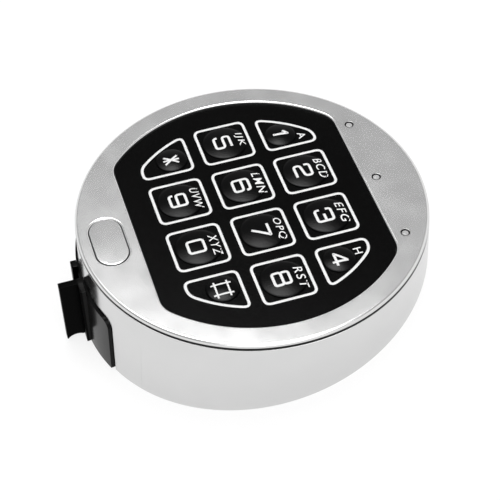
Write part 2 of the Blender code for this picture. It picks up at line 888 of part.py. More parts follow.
def make_base():
    """The base plate fills the foot of the housing, with rails and a channel for the drawer."""
    reach = face_radius
    base = box("base_plate", (-reach, -reach, 0.0), (reach, reach, base_thickness))
    rim = rods(
        "base_rim",
        [(0.0, 0.0)],
        face_radius - wall - seat_gap,
        -lowest_depth,
        0.0,
        face_frame,
        tool=True,
        sides=turn_steps,
    )
    keep_inside(base, rim)
    rail_foot = base_thickness / 2
    rails = boxes(
        "drawer_rails",
        [
            ((-rail_half_width, rail_front, rail_foot), (-lip_half_width, channel_back, lip_top)),
            ((lip_half_width, rail_front, rail_foot), (rail_half_width, channel_back, lip_top)),
        ],
        tool=True,
    )
    insert_places = [(-insert_x, insert_y), (insert_x, insert_y)]
    boss_top = base_thickness + insert_boss_height
    insert_bosses = rods("insert_bosses", insert_places, insert_boss_radius, rail_foot, boss_top, tool=True)
    join(base, rails, insert_bosses)

    channel_low = (-channel_half_width, -2 * reach, channel_floor)
    channel_high = (channel_half_width, channel_back - channel_end, lip_bottom)
    opening = rounded_rectangle(cable_opening_width / 2, cable_opening_length / 2, cable_opening_corner)
    opening = [(x, y + socket_row_y()) for x, y in opening]
    screws = base_screw_places()
    head_radius = base_screw_head_radius + screw_hole_gap
    hole_radius = base_screw_radius + screw_hole_gap
    sink_top = base_screw_sink + base_screw_head_height + screw_hole_gap
    cut(
        base,
        box("drawer_channel", channel_low, channel_high, tool=True),
        plate("cable_opening", [opening], -overrun, base_thickness + overrun, tool=True),
        rods("screw_holes", screws, hole_radius, -overrun, base_thickness + overrun, tool=True, sides=12),
        rods("screw_sinks", screws, head_radius, -overrun, base_screw_sink, tool=True, sides=16),
        rods(
            "screw_countersinks",
            screws,
            head_radius,
            base_screw_sink - film_gap / 2,
            sink_top,
            tool=True,
            top_radius=hole_radius,
            sides=16,
        ),
        rods(
            "insert_holes",
            insert_places,
            insert_radius + film_gap,
            boss_top - insert_length,
            boss_top + overrun,
            tool=True,
        ),
        rods("insert_throats", insert_places, insert_bore_radius, -overrun, boss_top, tool=True, sides=16),
    )
    finished(base, moulded_black)

    for side, (x, y) in zip(("left", "right"), insert_places):
        low = boss_top - insert_length + film_gap
        profile = [
            (insert_radius, boss_top - low),
            (insert_radius, 0.0),
            (insert_bore_radius, 0.0),
            (insert_bore_radius, boss_top - low),
        ]
        insert = turned(f"mount_insert_{side}", profile, rod_sides)
        insert.location = (x, y, low)
        finished(insert, brass)


def make_drawer():
    """Tray, runners, curved front and grip, moulded in one piece. It slides along -Y."""
    start = -face_radius - overrun
    side_top = floor_bottom + drawer_side_height
    inner_half_width = tray_half_width - drawer_side
    half_section = [
        (tray_half_width, floor_bottom),
        (tray_half_width, runner_bottom),
        (runner_half_width, runner_bottom),
        (runner_half_width, runner_top),
        (tray_half_width, runner_top),
        (tray_half_width, side_top),
        (inner_half_width, side_top),
        (inner_half_width, floor_top),
    ]
    section = half_section + mirrored_x(half_section)
    tray = front_outline("battery_drawer", section, start, drawer_end)
    overshoot = overrun * (drawer_side_height - drawer_rear_height) / drawer_rear_slope
    slope_top = side_top + overshoot
    slope = [
        (drawer_end - drawer_rear_slope - overrun, slope_top),
        (drawer_end + overrun, floor_bottom + drawer_rear_height - overshoot),
        (drawer_end + overrun, slope_top),
    ]
    foot_outer = wall_radius(lowest_depth) + front_proud
    trim = rods(
        "drawer_trim",
        [(0.0, 0.0)],
        foot_outer - front_thickness / 2,
        -lowest_depth,
        0.0,
        face_frame,
        tool=True,
        top_radius=front_outer - front_thickness / 2,
        sides=turn_steps,
    )
    gap_half_width = inner_half_width - drawer_floor
    cut(
        tray,
        side_outline("drawer_slope", slope, tray_half_width + overrun, tool=True),
        box(
            "drawer_floor_gap",
            (-gap_half_width, floor_end, floor_bottom - overrun),
            (gap_half_width, drawer_end + overrun, side_top),
            tool=True,
        ),
    )
    keep_inside(tray, trim)

    ring = [
        (front_outer, 0.0),
        (foot_outer, -lowest_depth),
        (foot_outer - front_thickness, -lowest_depth),
        (front_inner, 0.0),
    ]
    front = turned("drawer_front", ring, 2 * turn_steps, face_frame, tool=True)
    shield = arched_opening(front_half_width, front_height, front_corner)
    keep_inside(
        front,
        front_outline("drawer_front_outline", shield, 2 * start, start / 2, tool=True),
    )

    surface = wall_radius(front_height) + front_proud
    front_top = face_z_at(-surface, front_height)
    grip_top = front_top + grip_rise
    wall_y = -wall_radius(-front_top) - grip_clearance
    root_y = wall_y + front_thickness / 2
    fin_y = -surface - fin_reach
    ear_y = -surface - ear_reach
    fin_low = fin_shift - fin_thickness / 2
    fin_high = fin_shift + fin_thickness / 2
    far_inner = ear_width - grip_half_width
    far_ear = [
        (-grip_half_width, ear_y),
        (far_inner, ear_y),
        (far_inner, root_y),
        (-grip_half_width, root_y),
    ]
    fin_and_near_ear = [
        (fin_low, fin_y),
        (fin_high, fin_y),
        (fin_high, ear_y),
        (grip_half_width, ear_y),
        (grip_half_width, root_y),
        (fin_low, root_y),
    ]
    wall_clearance = box(
        "grip_wall_clearance",
        (-grip_half_width - overrun, wall_y, front_top - grip_clearance),
        (grip_half_width + overrun, root_y + overrun, grip_top + overrun),
        face_frame,
        tool=True,
    )
    grip = []
    for label, outline in (("far_ear", far_ear), ("fin", fin_and_near_ear)):
        piece = plate("grip_" + label, [outline], -lowest_depth, grip_top, face_frame, tool=True)
        cut(piece, wall_clearance)
        grip.append(piece)
    join(tray, front, *grip)
    arch_y = (fin_y + ear_y) / 2
    arch_z = front_foot + fin_arch_rise - fin_arch_radius
    arch = lying_rod(
        "fin_arch",
        fin_arch_radius,
        (fin_shift, arch_y / tilt_cosine, arch_z),
        fin_thickness,
        "X",
        tool=True,
        sides=2 * rod_sides,
    )
    cut(tray, below_plane("drawer_foot_cut", front_foot), arch)
    return finished(tray, drawer_black)


def make_battery():
    half = battery_width / 2
    case = box("battery_case", (-half, battery_front, battery_bottom), (half, battery_end, battery_top))
    round_edges(case, battery_edge)
    finished(case, battery_jacket)
    height = (battery_bottom + battery_top) / 2
    radii = {"positive": positive_radius, "negative": negative_radius}
    for sign, (label, radius) in zip((1, -1), radii.items()):
        x = sign * terminal_spacing / 2
        middle = battery_end + film_gap + terminal_length / 2
        sides = rod_sides if label == "positive" else 6
        stud = lying_rod(
            f"battery_{label}_terminal", radius, (x, middle, height), terminal_length / 2, "Y", sides=sides
        )
        bore_y = terminal_end + overrun / 2 - terminal_bore_depth / 2
        bore_half = (terminal_bore_depth + overrun) / 2
        cut(
            stud,
            lying_rod(
                f"{label}_terminal_bore",
                terminal_bore_radius,
                (x, bore_y, height),
                bore_half,
                "Y",
                tool=True,
            ),
        )
        finished(stud, spring_nickel)


def strip_outline(points, thickness):
    """The outline of a bent strip whose middle line runs through the points."""
    middle = [Vector(point) for point in points]
    runs = [(after - before).normalized() for before, after in zip(middle, middle[1:])]
    left, right = [], []
    for here, before, after in zip(middle, [runs[0]] + runs, runs + [runs[-1]]):
        mitre = Vector((-before.y - after.y, before.x + after.x))
        offset = mitre * (thickness / mitre.length_squared)
        left.append(tuple(here + offset))
        right.append(tuple(here - offset))
    return left + right[::-1]


def make_contacts():
    """The moulded block behind the battery, and a leaf spring for each terminal."""
    block_low = channel_floor + seat_gap
    block_top = block_low + block_height
    block = box(
        "contact_block",
        (-block_half_width, block_front, block_low),
        (block_half_width, block_back, block_top),
    )
    height = (battery_bottom + battery_top) / 2
    foot = height - positive_radius - seat_gap
    bend = height + positive_radius + seat_gap
    back_y = block_front - film_gap - spring_thickness / 2
    tip_y = terminal_end + seat_gap + spring_thickness / 2
    middle_y = (back_y + tip_y) / 2
    over = arc(middle_y, bend, (back_y - tip_y) / 2, 0.0, math.pi)
    leaf = [(back_y, foot)] + over + [(tip_y, height), (middle_y, foot)]
    outline = strip_outline(leaf, spring_thickness)
    slots = []
    for sign, label in ((1, "positive"), (-1, "negative")):
        x = sign * terminal_spacing / 2
        spring = side_outline(f"contact_spring_{label}", outline, spring_width / 2, x)
        finished(spring, spring_nickel)
        half = lead_radius + seat_gap
        low = (x - half, block_front + block_depth / 2, lead_exit_height - half)
        slots.append((low, (x + half, block_back + overrun, lead_exit_height + half)))
    cut(block, boxes("lead_sockets", slots, tool=True))
    finished(block, moulded_black)


def smooth_route(start, start_handle, end_handle, end, steps):
    """Points along one cubic curve between two ends."""
    points = []
    for i in range(steps + 1):
        t = i / steps
        near = start * (1 - t) ** 3 + start_handle * 3 * t * (1 - t) ** 2
        far = end_handle * 3 * t**2 * (1 - t) + end * t**3
        points.append(near + far)
    return points


def tube(name, points, radius, material):
    curve = bpy.data.curves.new(name, "CURVE")
    curve.dimensions = "3D"
    curve.bevel_depth = radius
    curve.bevel_resolution = 1
    curve.use_fill_caps = True
    spline = curve.splines.new("POLY")
    spline.points.add(len(points) - 1)
    for point, place in zip(spline.points, points):
        point.co = (*place, 1.0)
    obj = link(bpy.data.objects.new(name, curve), None, False)
    curve.materials.append(material)
    return obj


def make_leads():
    """Two short leads from the contact block up to the underside of the board."""
    for sign, label, material in ((1, "red", lead_red), (-1, "black", lead_black)):
        x = sign * terminal_spacing / 2
        start = Vector((x, block_front + block_depth / 2 + seat_gap, lead_exit_height))
        end_y = block_back + lead_run
        end_z = height_below_face(end_y, board_bottom + seat_gap)
        end = Vector((x, end_y, end_z))
        level = Vector((x, end_y, lead_exit_height))
        points = smooth_route(start, level, level, end, 2 * round_steps)
        tube(f"battery_lead_{label}", points, lead_radius, material)


def socket_face_y():
    """Face-frame y of the socket's middle: it stands clear of the contact block and the leads."""
    lowest = board_bottom + film_gap + socket_height
    row = block_back + socket_clearance + socket_depth / 2
    return (row - face_centre.y + lowest * tilt_sine) / tilt_cosine


def socket_row_y():
    lowest = board_bottom + film_gap + socket_height
    return row_y(socket_face_y(), -lowest)


def make_board_parts():
    """What hangs under the board: cable socket, buzzer, controller and capacitor."""
    top = -board_bottom - film_gap
    y = socket_face_y()
    half_x = socket_width / 2
    half_y = socket_depth / 2
    socket = box(
        "cable_socket", (-half_x, y - half_y, top - socket_height), (half_x, y + half_y, top), face_frame
    )
    mouth_low = y - mouth_height / 2 - mouth_offset
    mouth_high = y + mouth_height / 2 - mouth_offset
    floor = top - socket_height + mouth_depth
    mouth = box(
        "socket_mouth",
        (-mouth_width / 2, mouth_low, top - socket_height - overrun),
        (mouth_width / 2, mouth_high, floor),
        face_frame,
        tool=True,
    )
    latch = box(
        "socket_latch_slot",
        (-latch_width / 2, mouth_high - seat_gap, top - socket_height - overrun),
        (latch_width / 2, mouth_high + latch_height, floor - latch_height),
        face_frame,
        tool=True,
    )
    cut(socket, mouth, latch)
    finished(socket, moulded_black)

    buzzer = rods(
        "buzzer",
        [(-parts_row_x, parts_row_y)],
        buzzer_radius,
        top - buzzer_height,
        top,
        face_frame,
    )
    hole = rods(
        "buzzer_hole",
        [(-parts_row_x, parts_row_y)],
        buzzer_hole_radius,
        top - buzzer_height - overrun,
        top - buzzer_height + buzzer_hole_depth,
        face_frame,
        tool=True,
        sides=12,
    )
    cut(buzzer, hole)
    finished(buzzer, moulded_black)

    half = chip_side / 2
    chip = box(
        "controller_chip",
        (parts_row_x - half, parts_row_y - half, top - chip_height),
        (parts_row_x + half, parts_row_y + half, top),
        face_frame,
    )
    round_edges(chip, chip_edge, 1)
    finished(chip, moulded_black)

    profile = [
        (0.0, top),
        (capacitor_radius, top),
        (capacitor_radius, top - capacitor_height + capacitor_groove),
        (capacitor_radius - capacitor_groove, top - capacitor_height),
        (0.0, top - capacitor_height),
    ]
    capacitor = turned("capacitor", profile, rod_sides, face_frame)
    capacitor.location = (capacitor_x, capacitor_y, 0.0)
    finished(capacitor, capacitor_sleeve)


def apply_modifiers():
    """Bakes each part's modifiers into its mesh, and shades it smooth where it is round."""
    bpy.context.view_layer.update()
    graph = bpy.context.evaluated_depsgraph_get()
    solids = [obj for obj in parts.objects if obj.type == "MESH"]
    baked = {obj: bpy.data.meshes.new_from_object(obj.evaluated_get(graph)) for obj in solids}
    for obj, mesh in baked.items():
        obj.modifiers.clear()
        obj.data = mesh
        mesh.shade_smooth()
        mesh.set_sharp_from_angle(angle=math.radians(35.0))


make_housing()
make_panel()
make_keys()
make_dome_sheet()
make_board()
make_lights()
make_badge()
make_screws()
make_base()
make_drawer()
make_battery()
make_contacts()
make_leads()
make_board_parts()
apply_modifiers()
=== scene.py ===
import contextlib
import math

import bmesh
import bpy
from mathutils import Matrix, Vector


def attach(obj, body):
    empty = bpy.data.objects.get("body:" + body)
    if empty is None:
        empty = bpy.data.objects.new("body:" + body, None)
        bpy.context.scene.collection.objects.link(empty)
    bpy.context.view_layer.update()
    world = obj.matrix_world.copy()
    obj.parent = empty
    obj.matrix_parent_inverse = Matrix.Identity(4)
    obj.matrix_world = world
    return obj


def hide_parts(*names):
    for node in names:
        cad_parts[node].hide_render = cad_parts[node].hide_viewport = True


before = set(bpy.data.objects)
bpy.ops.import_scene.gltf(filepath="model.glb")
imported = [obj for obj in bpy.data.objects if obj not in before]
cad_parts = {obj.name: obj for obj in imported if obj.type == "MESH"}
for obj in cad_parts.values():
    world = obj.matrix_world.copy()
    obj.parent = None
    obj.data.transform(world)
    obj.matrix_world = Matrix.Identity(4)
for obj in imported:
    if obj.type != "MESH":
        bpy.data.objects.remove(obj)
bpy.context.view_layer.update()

MM = 0.001

# Housing, as its solid has it. Depths run down from the tilted face, its bosses' heights up from the back.
face_tilt = math.radians(9.7)
face_radius = 52.08 * MM
centre_depth = 24.879 * MM
lowest_depth = 41.78 * MM
face_thickness = 3.1 * MM
wall = 2.2 * MM
wall_draft = math.radians(1.8)
inner_corner = 1.5 * MM
shell_depth = 38 * MM
boss_pairs = ((11.9 * MM, 45.47 * MM), (37.48 * MM, -22.59 * MM))
boss_radius = 3.2 * MM
boss_foot = 2.7 * MM
bore_radius = 1.55 * MM
bore_foot = 1.7 * MM
bore_top = 9.3 * MM
seat_gap = 0.3 * MM
drawer_window_half_width = 20.0 * MM
drawer_window_height = 21.7 * MM
drawer_window_corner = 3.5 * MM
drawer_window_reach = (30 * MM, 70 * MM)

# Its edges, as the photo shows them
rim_round = 0.95 * MM
groove_top = 1.06 * MM
groove_bottom = 2.0 * MM
groove_depth = 0.75 * MM
groove_ease = 0.08 * MM
recess_rim = 0.45 * MM
badge_rim = 0.6 * MM
hole_ease = 0.16 * MM
hole_margin = 2 * MM
window_ease = 0.12 * MM
window_margin = 8 * MM
face_flat_radius = 50 * MM

# Keypad panel and keys
panel_sink = 0.8 * MM
panel_thickness = 0.8 * MM
panel_radius = 45.08 * MM
panel_half_height = 34.8 * MM
panel_corner = 7.5 * MM
panel_ease = 0.06 * MM
recess_depth = 1.9 * MM
window_radius = 42.08 * MM
window_half_height = 31.8 * MM
key_rows = (
    ("key_1", "key_2", "key_3", "key_4"),
    ("key_5", "key_6", "key_7", "key_8"),
    ("key_star", "key_9", "key_0", "key_hash"),
)
middle_column, middle_row = 1.5, 1
key_pitch_x = 19.3 * MM
key_pitch_y = 19.5 * MM
key_grid_lift = 0.3 * MM
key_radius = 6.7 * MM
corner_key_radius = 4.7 * MM
corner_key_shift = (2.0 * MM, 2.15 * MM)
key_gap = 0.18 * MM
key_crown = 0.65 * MM
key_edge = 0.2 * MM
key_edge_round = 0.12 * MM
dome_rings = (1, 0.92, 0.8, 0.66, 0.5, 0.34, 0.18, 0.06)
flange_width = 1.0 * MM
flange_top = 1.0 * MM
flange_foot = 1.5 * MM
stem_radius = 1.4 * MM
stem_foot = 1.7 * MM

# What is printed on the keypad. Each further line of a sign lies a step higher than the one before.
print_depth = 0.02 * MM
print_step = 0.004 * MM
outline_half = (7.5 * MM, 7.69 * MM)
outline_corner = 2.0 * MM
outline_stroke = 0.85 * MM
outline_radius = 37.5 * MM
outline_tip = 2.1 * MM
outline_top_corner = 1.85 * MM
digit_half = (2.28 * MM, 2.4 * MM)
digit_stroke = 0.82 * MM
digit_y = -0.6 * MM
line_step = 0.7 * MM
letter_size = 3 * MM
letter_boldness = 0.01 * MM
letter_spacing = 1.22
widest_stretch = 1.5
word_y = 4.9 * MM
word_height = 2.6 * MM
word_slant = 0.12
corner_letter_y = 4.05 * MM
corner_letter_height = 2.35 * MM

# Where a word crosses a key's edge: how far inside the key it stops, and how far outside the hole it goes on
word_stop = 0.01 * MM
word_restart = 0.04 * MM
trim_reach = 1 * MM

# Badge plate and indicator lights
badge_y = -43.3 * MM
badge_length = 18.5 * MM
badge_width = 9.9 * MM
badge_thickness = 0.8 * MM
badge_gap = 0.25 * MM
badge_crown = 0.08 * MM
badge_ease = 0.16 * MM
badge_grid = 1.2 * MM
oval_flat = 0.01 * MM
light_spacing = 23.8 * MM
light_y = 39.0 * MM
pipe_radius = 1.2 * MM
pipe_gap = 0.2 * MM
pipe_sink = 0.15 * MM
pipe_foot = 2.6 * MM
lens_height = 0.6 * MM
lens_ease = 0.1 * MM
lens_crown = 0.12 * MM

# Battery drawer
front_thickness = 2.0 * MM
front_proud = 0.75 * MM
front_half_width = 19.2 * MM
front_height = 20.5 * MM
front_foot = 0.4 * MM
front_corner = 3.0 * MM
front_reach = (25 * MM, 75 * MM)
front_ease = 0.35 * MM
front_slack = 0.2 * MM
grip_half_width = 6.6 * MM
grip_rise = 1.8 * MM
grip_clearance = 0.4 * MM
grip_ease = 0.22 * MM
grip_root = 0.3 * MM
fin_low = 0.75 * MM
fin_high = 3.05 * MM
fin_reach = 6.6 * MM
ear_width = 2.7 * MM
ear_reach = 1.2 * MM
arch_radius = 3.65 * MM
arch_length = 4.6 * MM
arch_height = 0.9 * MM
tray_front = -56 * MM
tray_half_width = 15.15 * MM
tray_side = 1.6 * MM
tray_bottom = 1.3 * MM
tray_floor = 0.8 * MM
tray_floor_end = 2.617 * MM
tray_ledge = 0.8 * MM
tray_end = 16.502 * MM
tray_side_height = 12.7 * MM
tray_rear_height = 4.6 * MM
tray_rear_slope = 6.0 * MM
runner_root = 0.8 * MM
runner_half_width = 18.55 * MM
runner_bottom = 2.5 * MM
runner_top = 3.8 * MM
battery_length = 45.6 * MM
battery_end_gap = 0.48 * MM

# Pieces inside the housing
inner_ease = 0.1 * MM

# Tolerances, the step that keeps joined planes apart, and how far cutting tools run past what they cut
level_slack = 0.002 * MM
weld = 0.001 * MM
nudge = 0.01 * MM
overrun = 0.1 * MM
tool_above = 5 * MM
tool_below = 10 * MM
tool_beside = 20 * MM
tool_behind = 30 * MM
hollow_front = -60 * MM
tool_far = 100 * MM

sine, cosine = math.sin(face_tilt), math.cos(face_tilt)
face_normal = (0.0, sine, cosine)
up_face = (0.0, cosine, -sine)
face_centre = Vector((0.0, centre_depth * sine, centre_depth * cosine))
face_place = Matrix.Translation(face_centre) @ Matrix.Rotation(-face_tilt, 4, "X")
quarter_turn = math.pi / 2


# Bench tools: how the pieces are shaped and put in place

def clear_selection():
    bpy.ops.object.select_all(action="DESELECT")


def take(piece):
    clear_selection()
    piece.select_set(True)
    bpy.context.view_layer.objects.active = piece


def named(name):
    piece = bpy.context.object
    piece.name = piece.data.name = name
    return piece


def stand(name, data):
    """Puts new data into the scene."""
    item = bpy.data.objects.new(name, data)
    bpy.context.scene.collection.objects.link(item)
    return item


def fix_place():
    """Puts the place, turn and size of what is selected into its mesh."""
    bpy.ops.object.transform_apply(location=True, rotation=True, scale=True)


@contextlib.contextmanager
def shaping(piece):
    """Edit mode on one piece, with all of it selected at first."""
    take(piece)
    bpy.ops.object.mode_set(mode="EDIT")
    bpy.ops.mesh.select_all(action="SELECT")
    yield
    bpy.ops.object.mode_set(mode="OBJECT")


def pick(piece, kind, wanted):
    """In edit mode, selects only the vertices, edges or faces that are wanted."""
    bpy.ops.mesh.select_mode(type={"verts": "VERT", "edges": "EDGE", "faces": "FACE"}[kind])
    bpy.ops.mesh.select_all(action="DESELECT")
    shape = bmesh.from_edit_mesh(piece.data)
    for item in getattr(shape, kind):
        if wanted(item):
            item.select_set(True)
    shape.select_flush_mode()
    bmesh.update_edit_mesh(piece.data)


def face_outwards():
    """In edit mode, turns every face to the outside."""
    bpy.ops.mesh.select_all(action="SELECT")
    bpy.ops.mesh.normals_make_consistent(inside=False)


def part_faces(axis, places):
    """In edit mode, parts the faces along planes across an axis, one through each place."""
    for place in places:
        bpy.ops.mesh.select_all(action="SELECT")
        bpy.ops.mesh.bisect(plane_co=place, plane_no=axis)


def arc_points(centre, height, radius, start, end, steps):
    angles = [start + (end - start) * i / steps for i in range(steps + 1)]
    return [(centre + radius * math.cos(a), height + radius * math.sin(a)) for a in angles]


def turned(name, profile, sides=96):
    """A closed solid of rings about z, from the first (radius, height) to the last."""
    (radius, height), *rest = profile
    clear_selection()
    bpy.ops.mesh.primitive_circle_add(vertices=sides, radius=radius, fill_type="NGON")
    piece = named(name)
    with shaping(piece):
        bpy.ops.transform.translate(value=(0.0, 0.0, height))
        for next_radius, next_height in rest:
            rise = (0.0, 0.0, next_height - height)
            bpy.ops.mesh.extrude_region_move(TRANSFORM_OT_translate={"value": rise})
            size = next_radius / radius
            bpy.ops.transform.resize(value=(size, size, 1.0), center_override=(0.0, 0.0, next_height))
            radius, height = next_radius, next_height
        face_outwards()
    return piece


def rod(name, x, y, radius, low, high, sides=48):
    clear_selection()
    bpy.ops.mesh.primitive_cylinder_add(
        vertices=sides, radius=radius, depth=high - low, location=(x, y, (low + high) / 2)
    )
    return named(name)


def block(name, low, high):
    clear_selection()
    low, high = Vector(low), Vector(high)
    bpy.ops.mesh.primitive_cube_add(size=1.0, location=(low + high) / 2)
    piece = named(name)
    piece.scale = high - low
    fix_place()
    return piece


def upright(edge):
    a, b = edge.verts
    return abs(a.co.x - b.co.x) + abs(a.co.y - b.co.y) < 0.1 * weld


def rounded_slab(name, x, y, half_x, half_y, corner, low, high, steps=10):
    """A slab with rounded upright corners."""
    slab = block(name, (x - half_x, y - half_y, low), (x + half_x, y + half_y, high))
    with shaping(slab):
        pick(slab, "edges", upright)
        bpy.ops.mesh.bevel(offset=corner, segments=steps, affect="EDGES")
    return slab


def chorded_disc(name, radius, half_height, corner, low, high, corner_steps=10, side_steps=26):
    """A disc cut level above and below, with its four corners rounded."""
    corner_y = half_height - corner
    corner_x = math.sqrt((radius - corner) ** 2 - corner_y**2)
    turn = math.atan2(corner_y, corner_x)
    quarter = arc_points(corner_x, corner_y, corner, quarter_turn, turn, corner_steps)[:-1]
    quarter += arc_points(0.0, 0.0, radius, turn, 0.0, side_steps)
    half = quarter + [(x, -y) for x, y in reversed(quarter[:-1])]
    outline = half + [(-x, y) for x, y in reversed(half)]
    count = len(outline)
    faces = [tuple(range(count)), tuple(range(count, 2 * count))]
    faces += [(i, (i + 1) % count, count + (i + 1) % count, count + i) for i in range(count)]
    mesh = bpy.data.meshes.new(name)
    mesh.from_pydata([(x, y, z) for z in (low, high) for x, y in outline], [], faces)
    disc = stand(name, mesh)
    with shaping(disc):
        face_outwards()
    return disc


def combine(piece, tool, operation="DIFFERENCE"):
    """Cuts, joins or intersects a piece with a tool shape, which is used up."""
    take(piece)
    step = piece.modifiers.new("step", "BOOLEAN")
    step.operation = operation
    step.object = tool
    step.solver = "EXACT"
    bpy.ops.object.modifier_apply(modifier=step.name)
    bpy.data.objects.remove(tool)
    return piece


def ease(piece, width, wanted, steps=2):
    """Takes the sharpness off the edges that are wanted."""
    with shaping(piece):
        pick(piece, "edges", wanted)
        bpy.ops.mesh.bevel(offset=width, segments=steps, affect="EDGES", clamp_overlap=True)


def sharp(edge, least=0.9):
    return len(edge.link_faces) == 2 and edge.calc_face_angle(0.0) > least


def level_at(item, height):
    return all(abs(v.co.z - height) < level_slack for v in item.verts)


def middle_of(edge):
    return (edge.verts[0].co + edge.verts[1].co) / 2


def flared(tool, width, depth):
    """Widens a cutting tool above its foot in a hollow curve, so that it leaves a rounded rim.

    Its foot is then taken down to the depth of the cut.
    """
    with shaping(tool):
        pick(tool, "edges", lambda edge: level_at(edge, -width) and sharp(edge))
        bpy.ops.mesh.bevel(offset=width, segments=6, profile=0.086, affect="EDGES")
        pick(tool, "faces", lambda face: level_at(face, -width))
        bpy.ops.mesh.extrude_region_move(TRANSFORM_OT_translate={"value": (0.0, 0.0, width - depth)})
    return tool


def smooth(piece, angle=32.0, flat=None):
    """Smooth shading, broken at steep edges and round the flat that is named by a test of its points."""
    take(piece)
    bpy.ops.object.shade_smooth_by_angle(angle=math.radians(angle))
    points = piece.data.vertices
    for edge in piece.data.edges if flat else ():
        if all(flat(points[i].co) for i in edge.vertices):
            edge.use_edge_sharp = True
    even = piece.modifiers.new("even", "WEIGHTED_NORMAL")
    even.keep_sharp = True
    even.weight = 100
    bpy.ops.object.modifier_apply(modifier=even.name)


def settle(piece, place=face_place):
    """Moves a piece from the frame it was made in to the lock's own, and fixes its place in its mesh."""
    piece.matrix_world = place @ piece.matrix_world
    take(piece)
    fix_place()
    return piece


# Finishes

class Wire:
    """A number that runs through a finish, with plain arithmetic."""

    def __init__(self, nodes, socket):
        self.nodes = nodes
        self.socket = socket

    def _sum(self, operation, first, second):
        return self.nodes.wire("ShaderNodeMath", {"operation": operation}, {0: first, 1: second})

    def __add__(self, other):
        return self._sum("ADD", self, other)

    def __sub__(self, other):
        return self._sum("SUBTRACT", self, other)

    def __rsub__(self, other):
        return self._sum("SUBTRACT", other, self)

    def __mul__(self, other):
        return self._sum("MULTIPLY", self, other)

    __radd__ = __add__
    __rmul__ = __mul__


class Nodes:
    """The nodes of a finish or of the studio's light."""

    def __init__(self, tree):
        self.tree = tree

    def put(self, socket, value):
        """Gives a socket its value, or links it to what works the value out."""
        if isinstance(value, Wire):
            value = value.socket
        if isinstance(value, bpy.types.NodeSocket):
            self.tree.links.new(value, socket)
        else:
            socket.default_value = value

    def node(self, kind, settings, sockets, output=0):
        new = self.tree.nodes.new(kind)
        for key, value in settings.items():
            setattr(new, key, value)
        for key, value in sockets.items():
            self.put(new.inputs[key], value)
        return new.outputs[output]

    def wire(self, kind, settings, sockets, output=0):
        """A node whose result is a number."""
        return Wire(self, self.node(kind, settings, sockets, output))

    def measure(self, operation, *vectors):
        """A number that is worked out from vectors."""
        sockets = dict(enumerate(vectors))
        return self.wire("ShaderNodeVectorMath", {"operation": operation}, sockets, "Value")

    def range(self, value, low, high, to_low, to_high, **settings):
        """Carries the values from low to high over to another span, and holds them at its ends."""
        sockets = {0: value, 1: low, 2: high, 3: to_low, 4: to_high}
        return self.wire("ShaderNodeMapRange", settings, sockets)

    def rays(self, *kinds):
        """For each kind of ray that is named, one where such a ray looks and otherwise nothing."""
        path = self.node("ShaderNodeLightPath", {}, {}).node
        return [Wire(self, path.outputs[f"Is {kind} Ray"]) for kind in kinds]


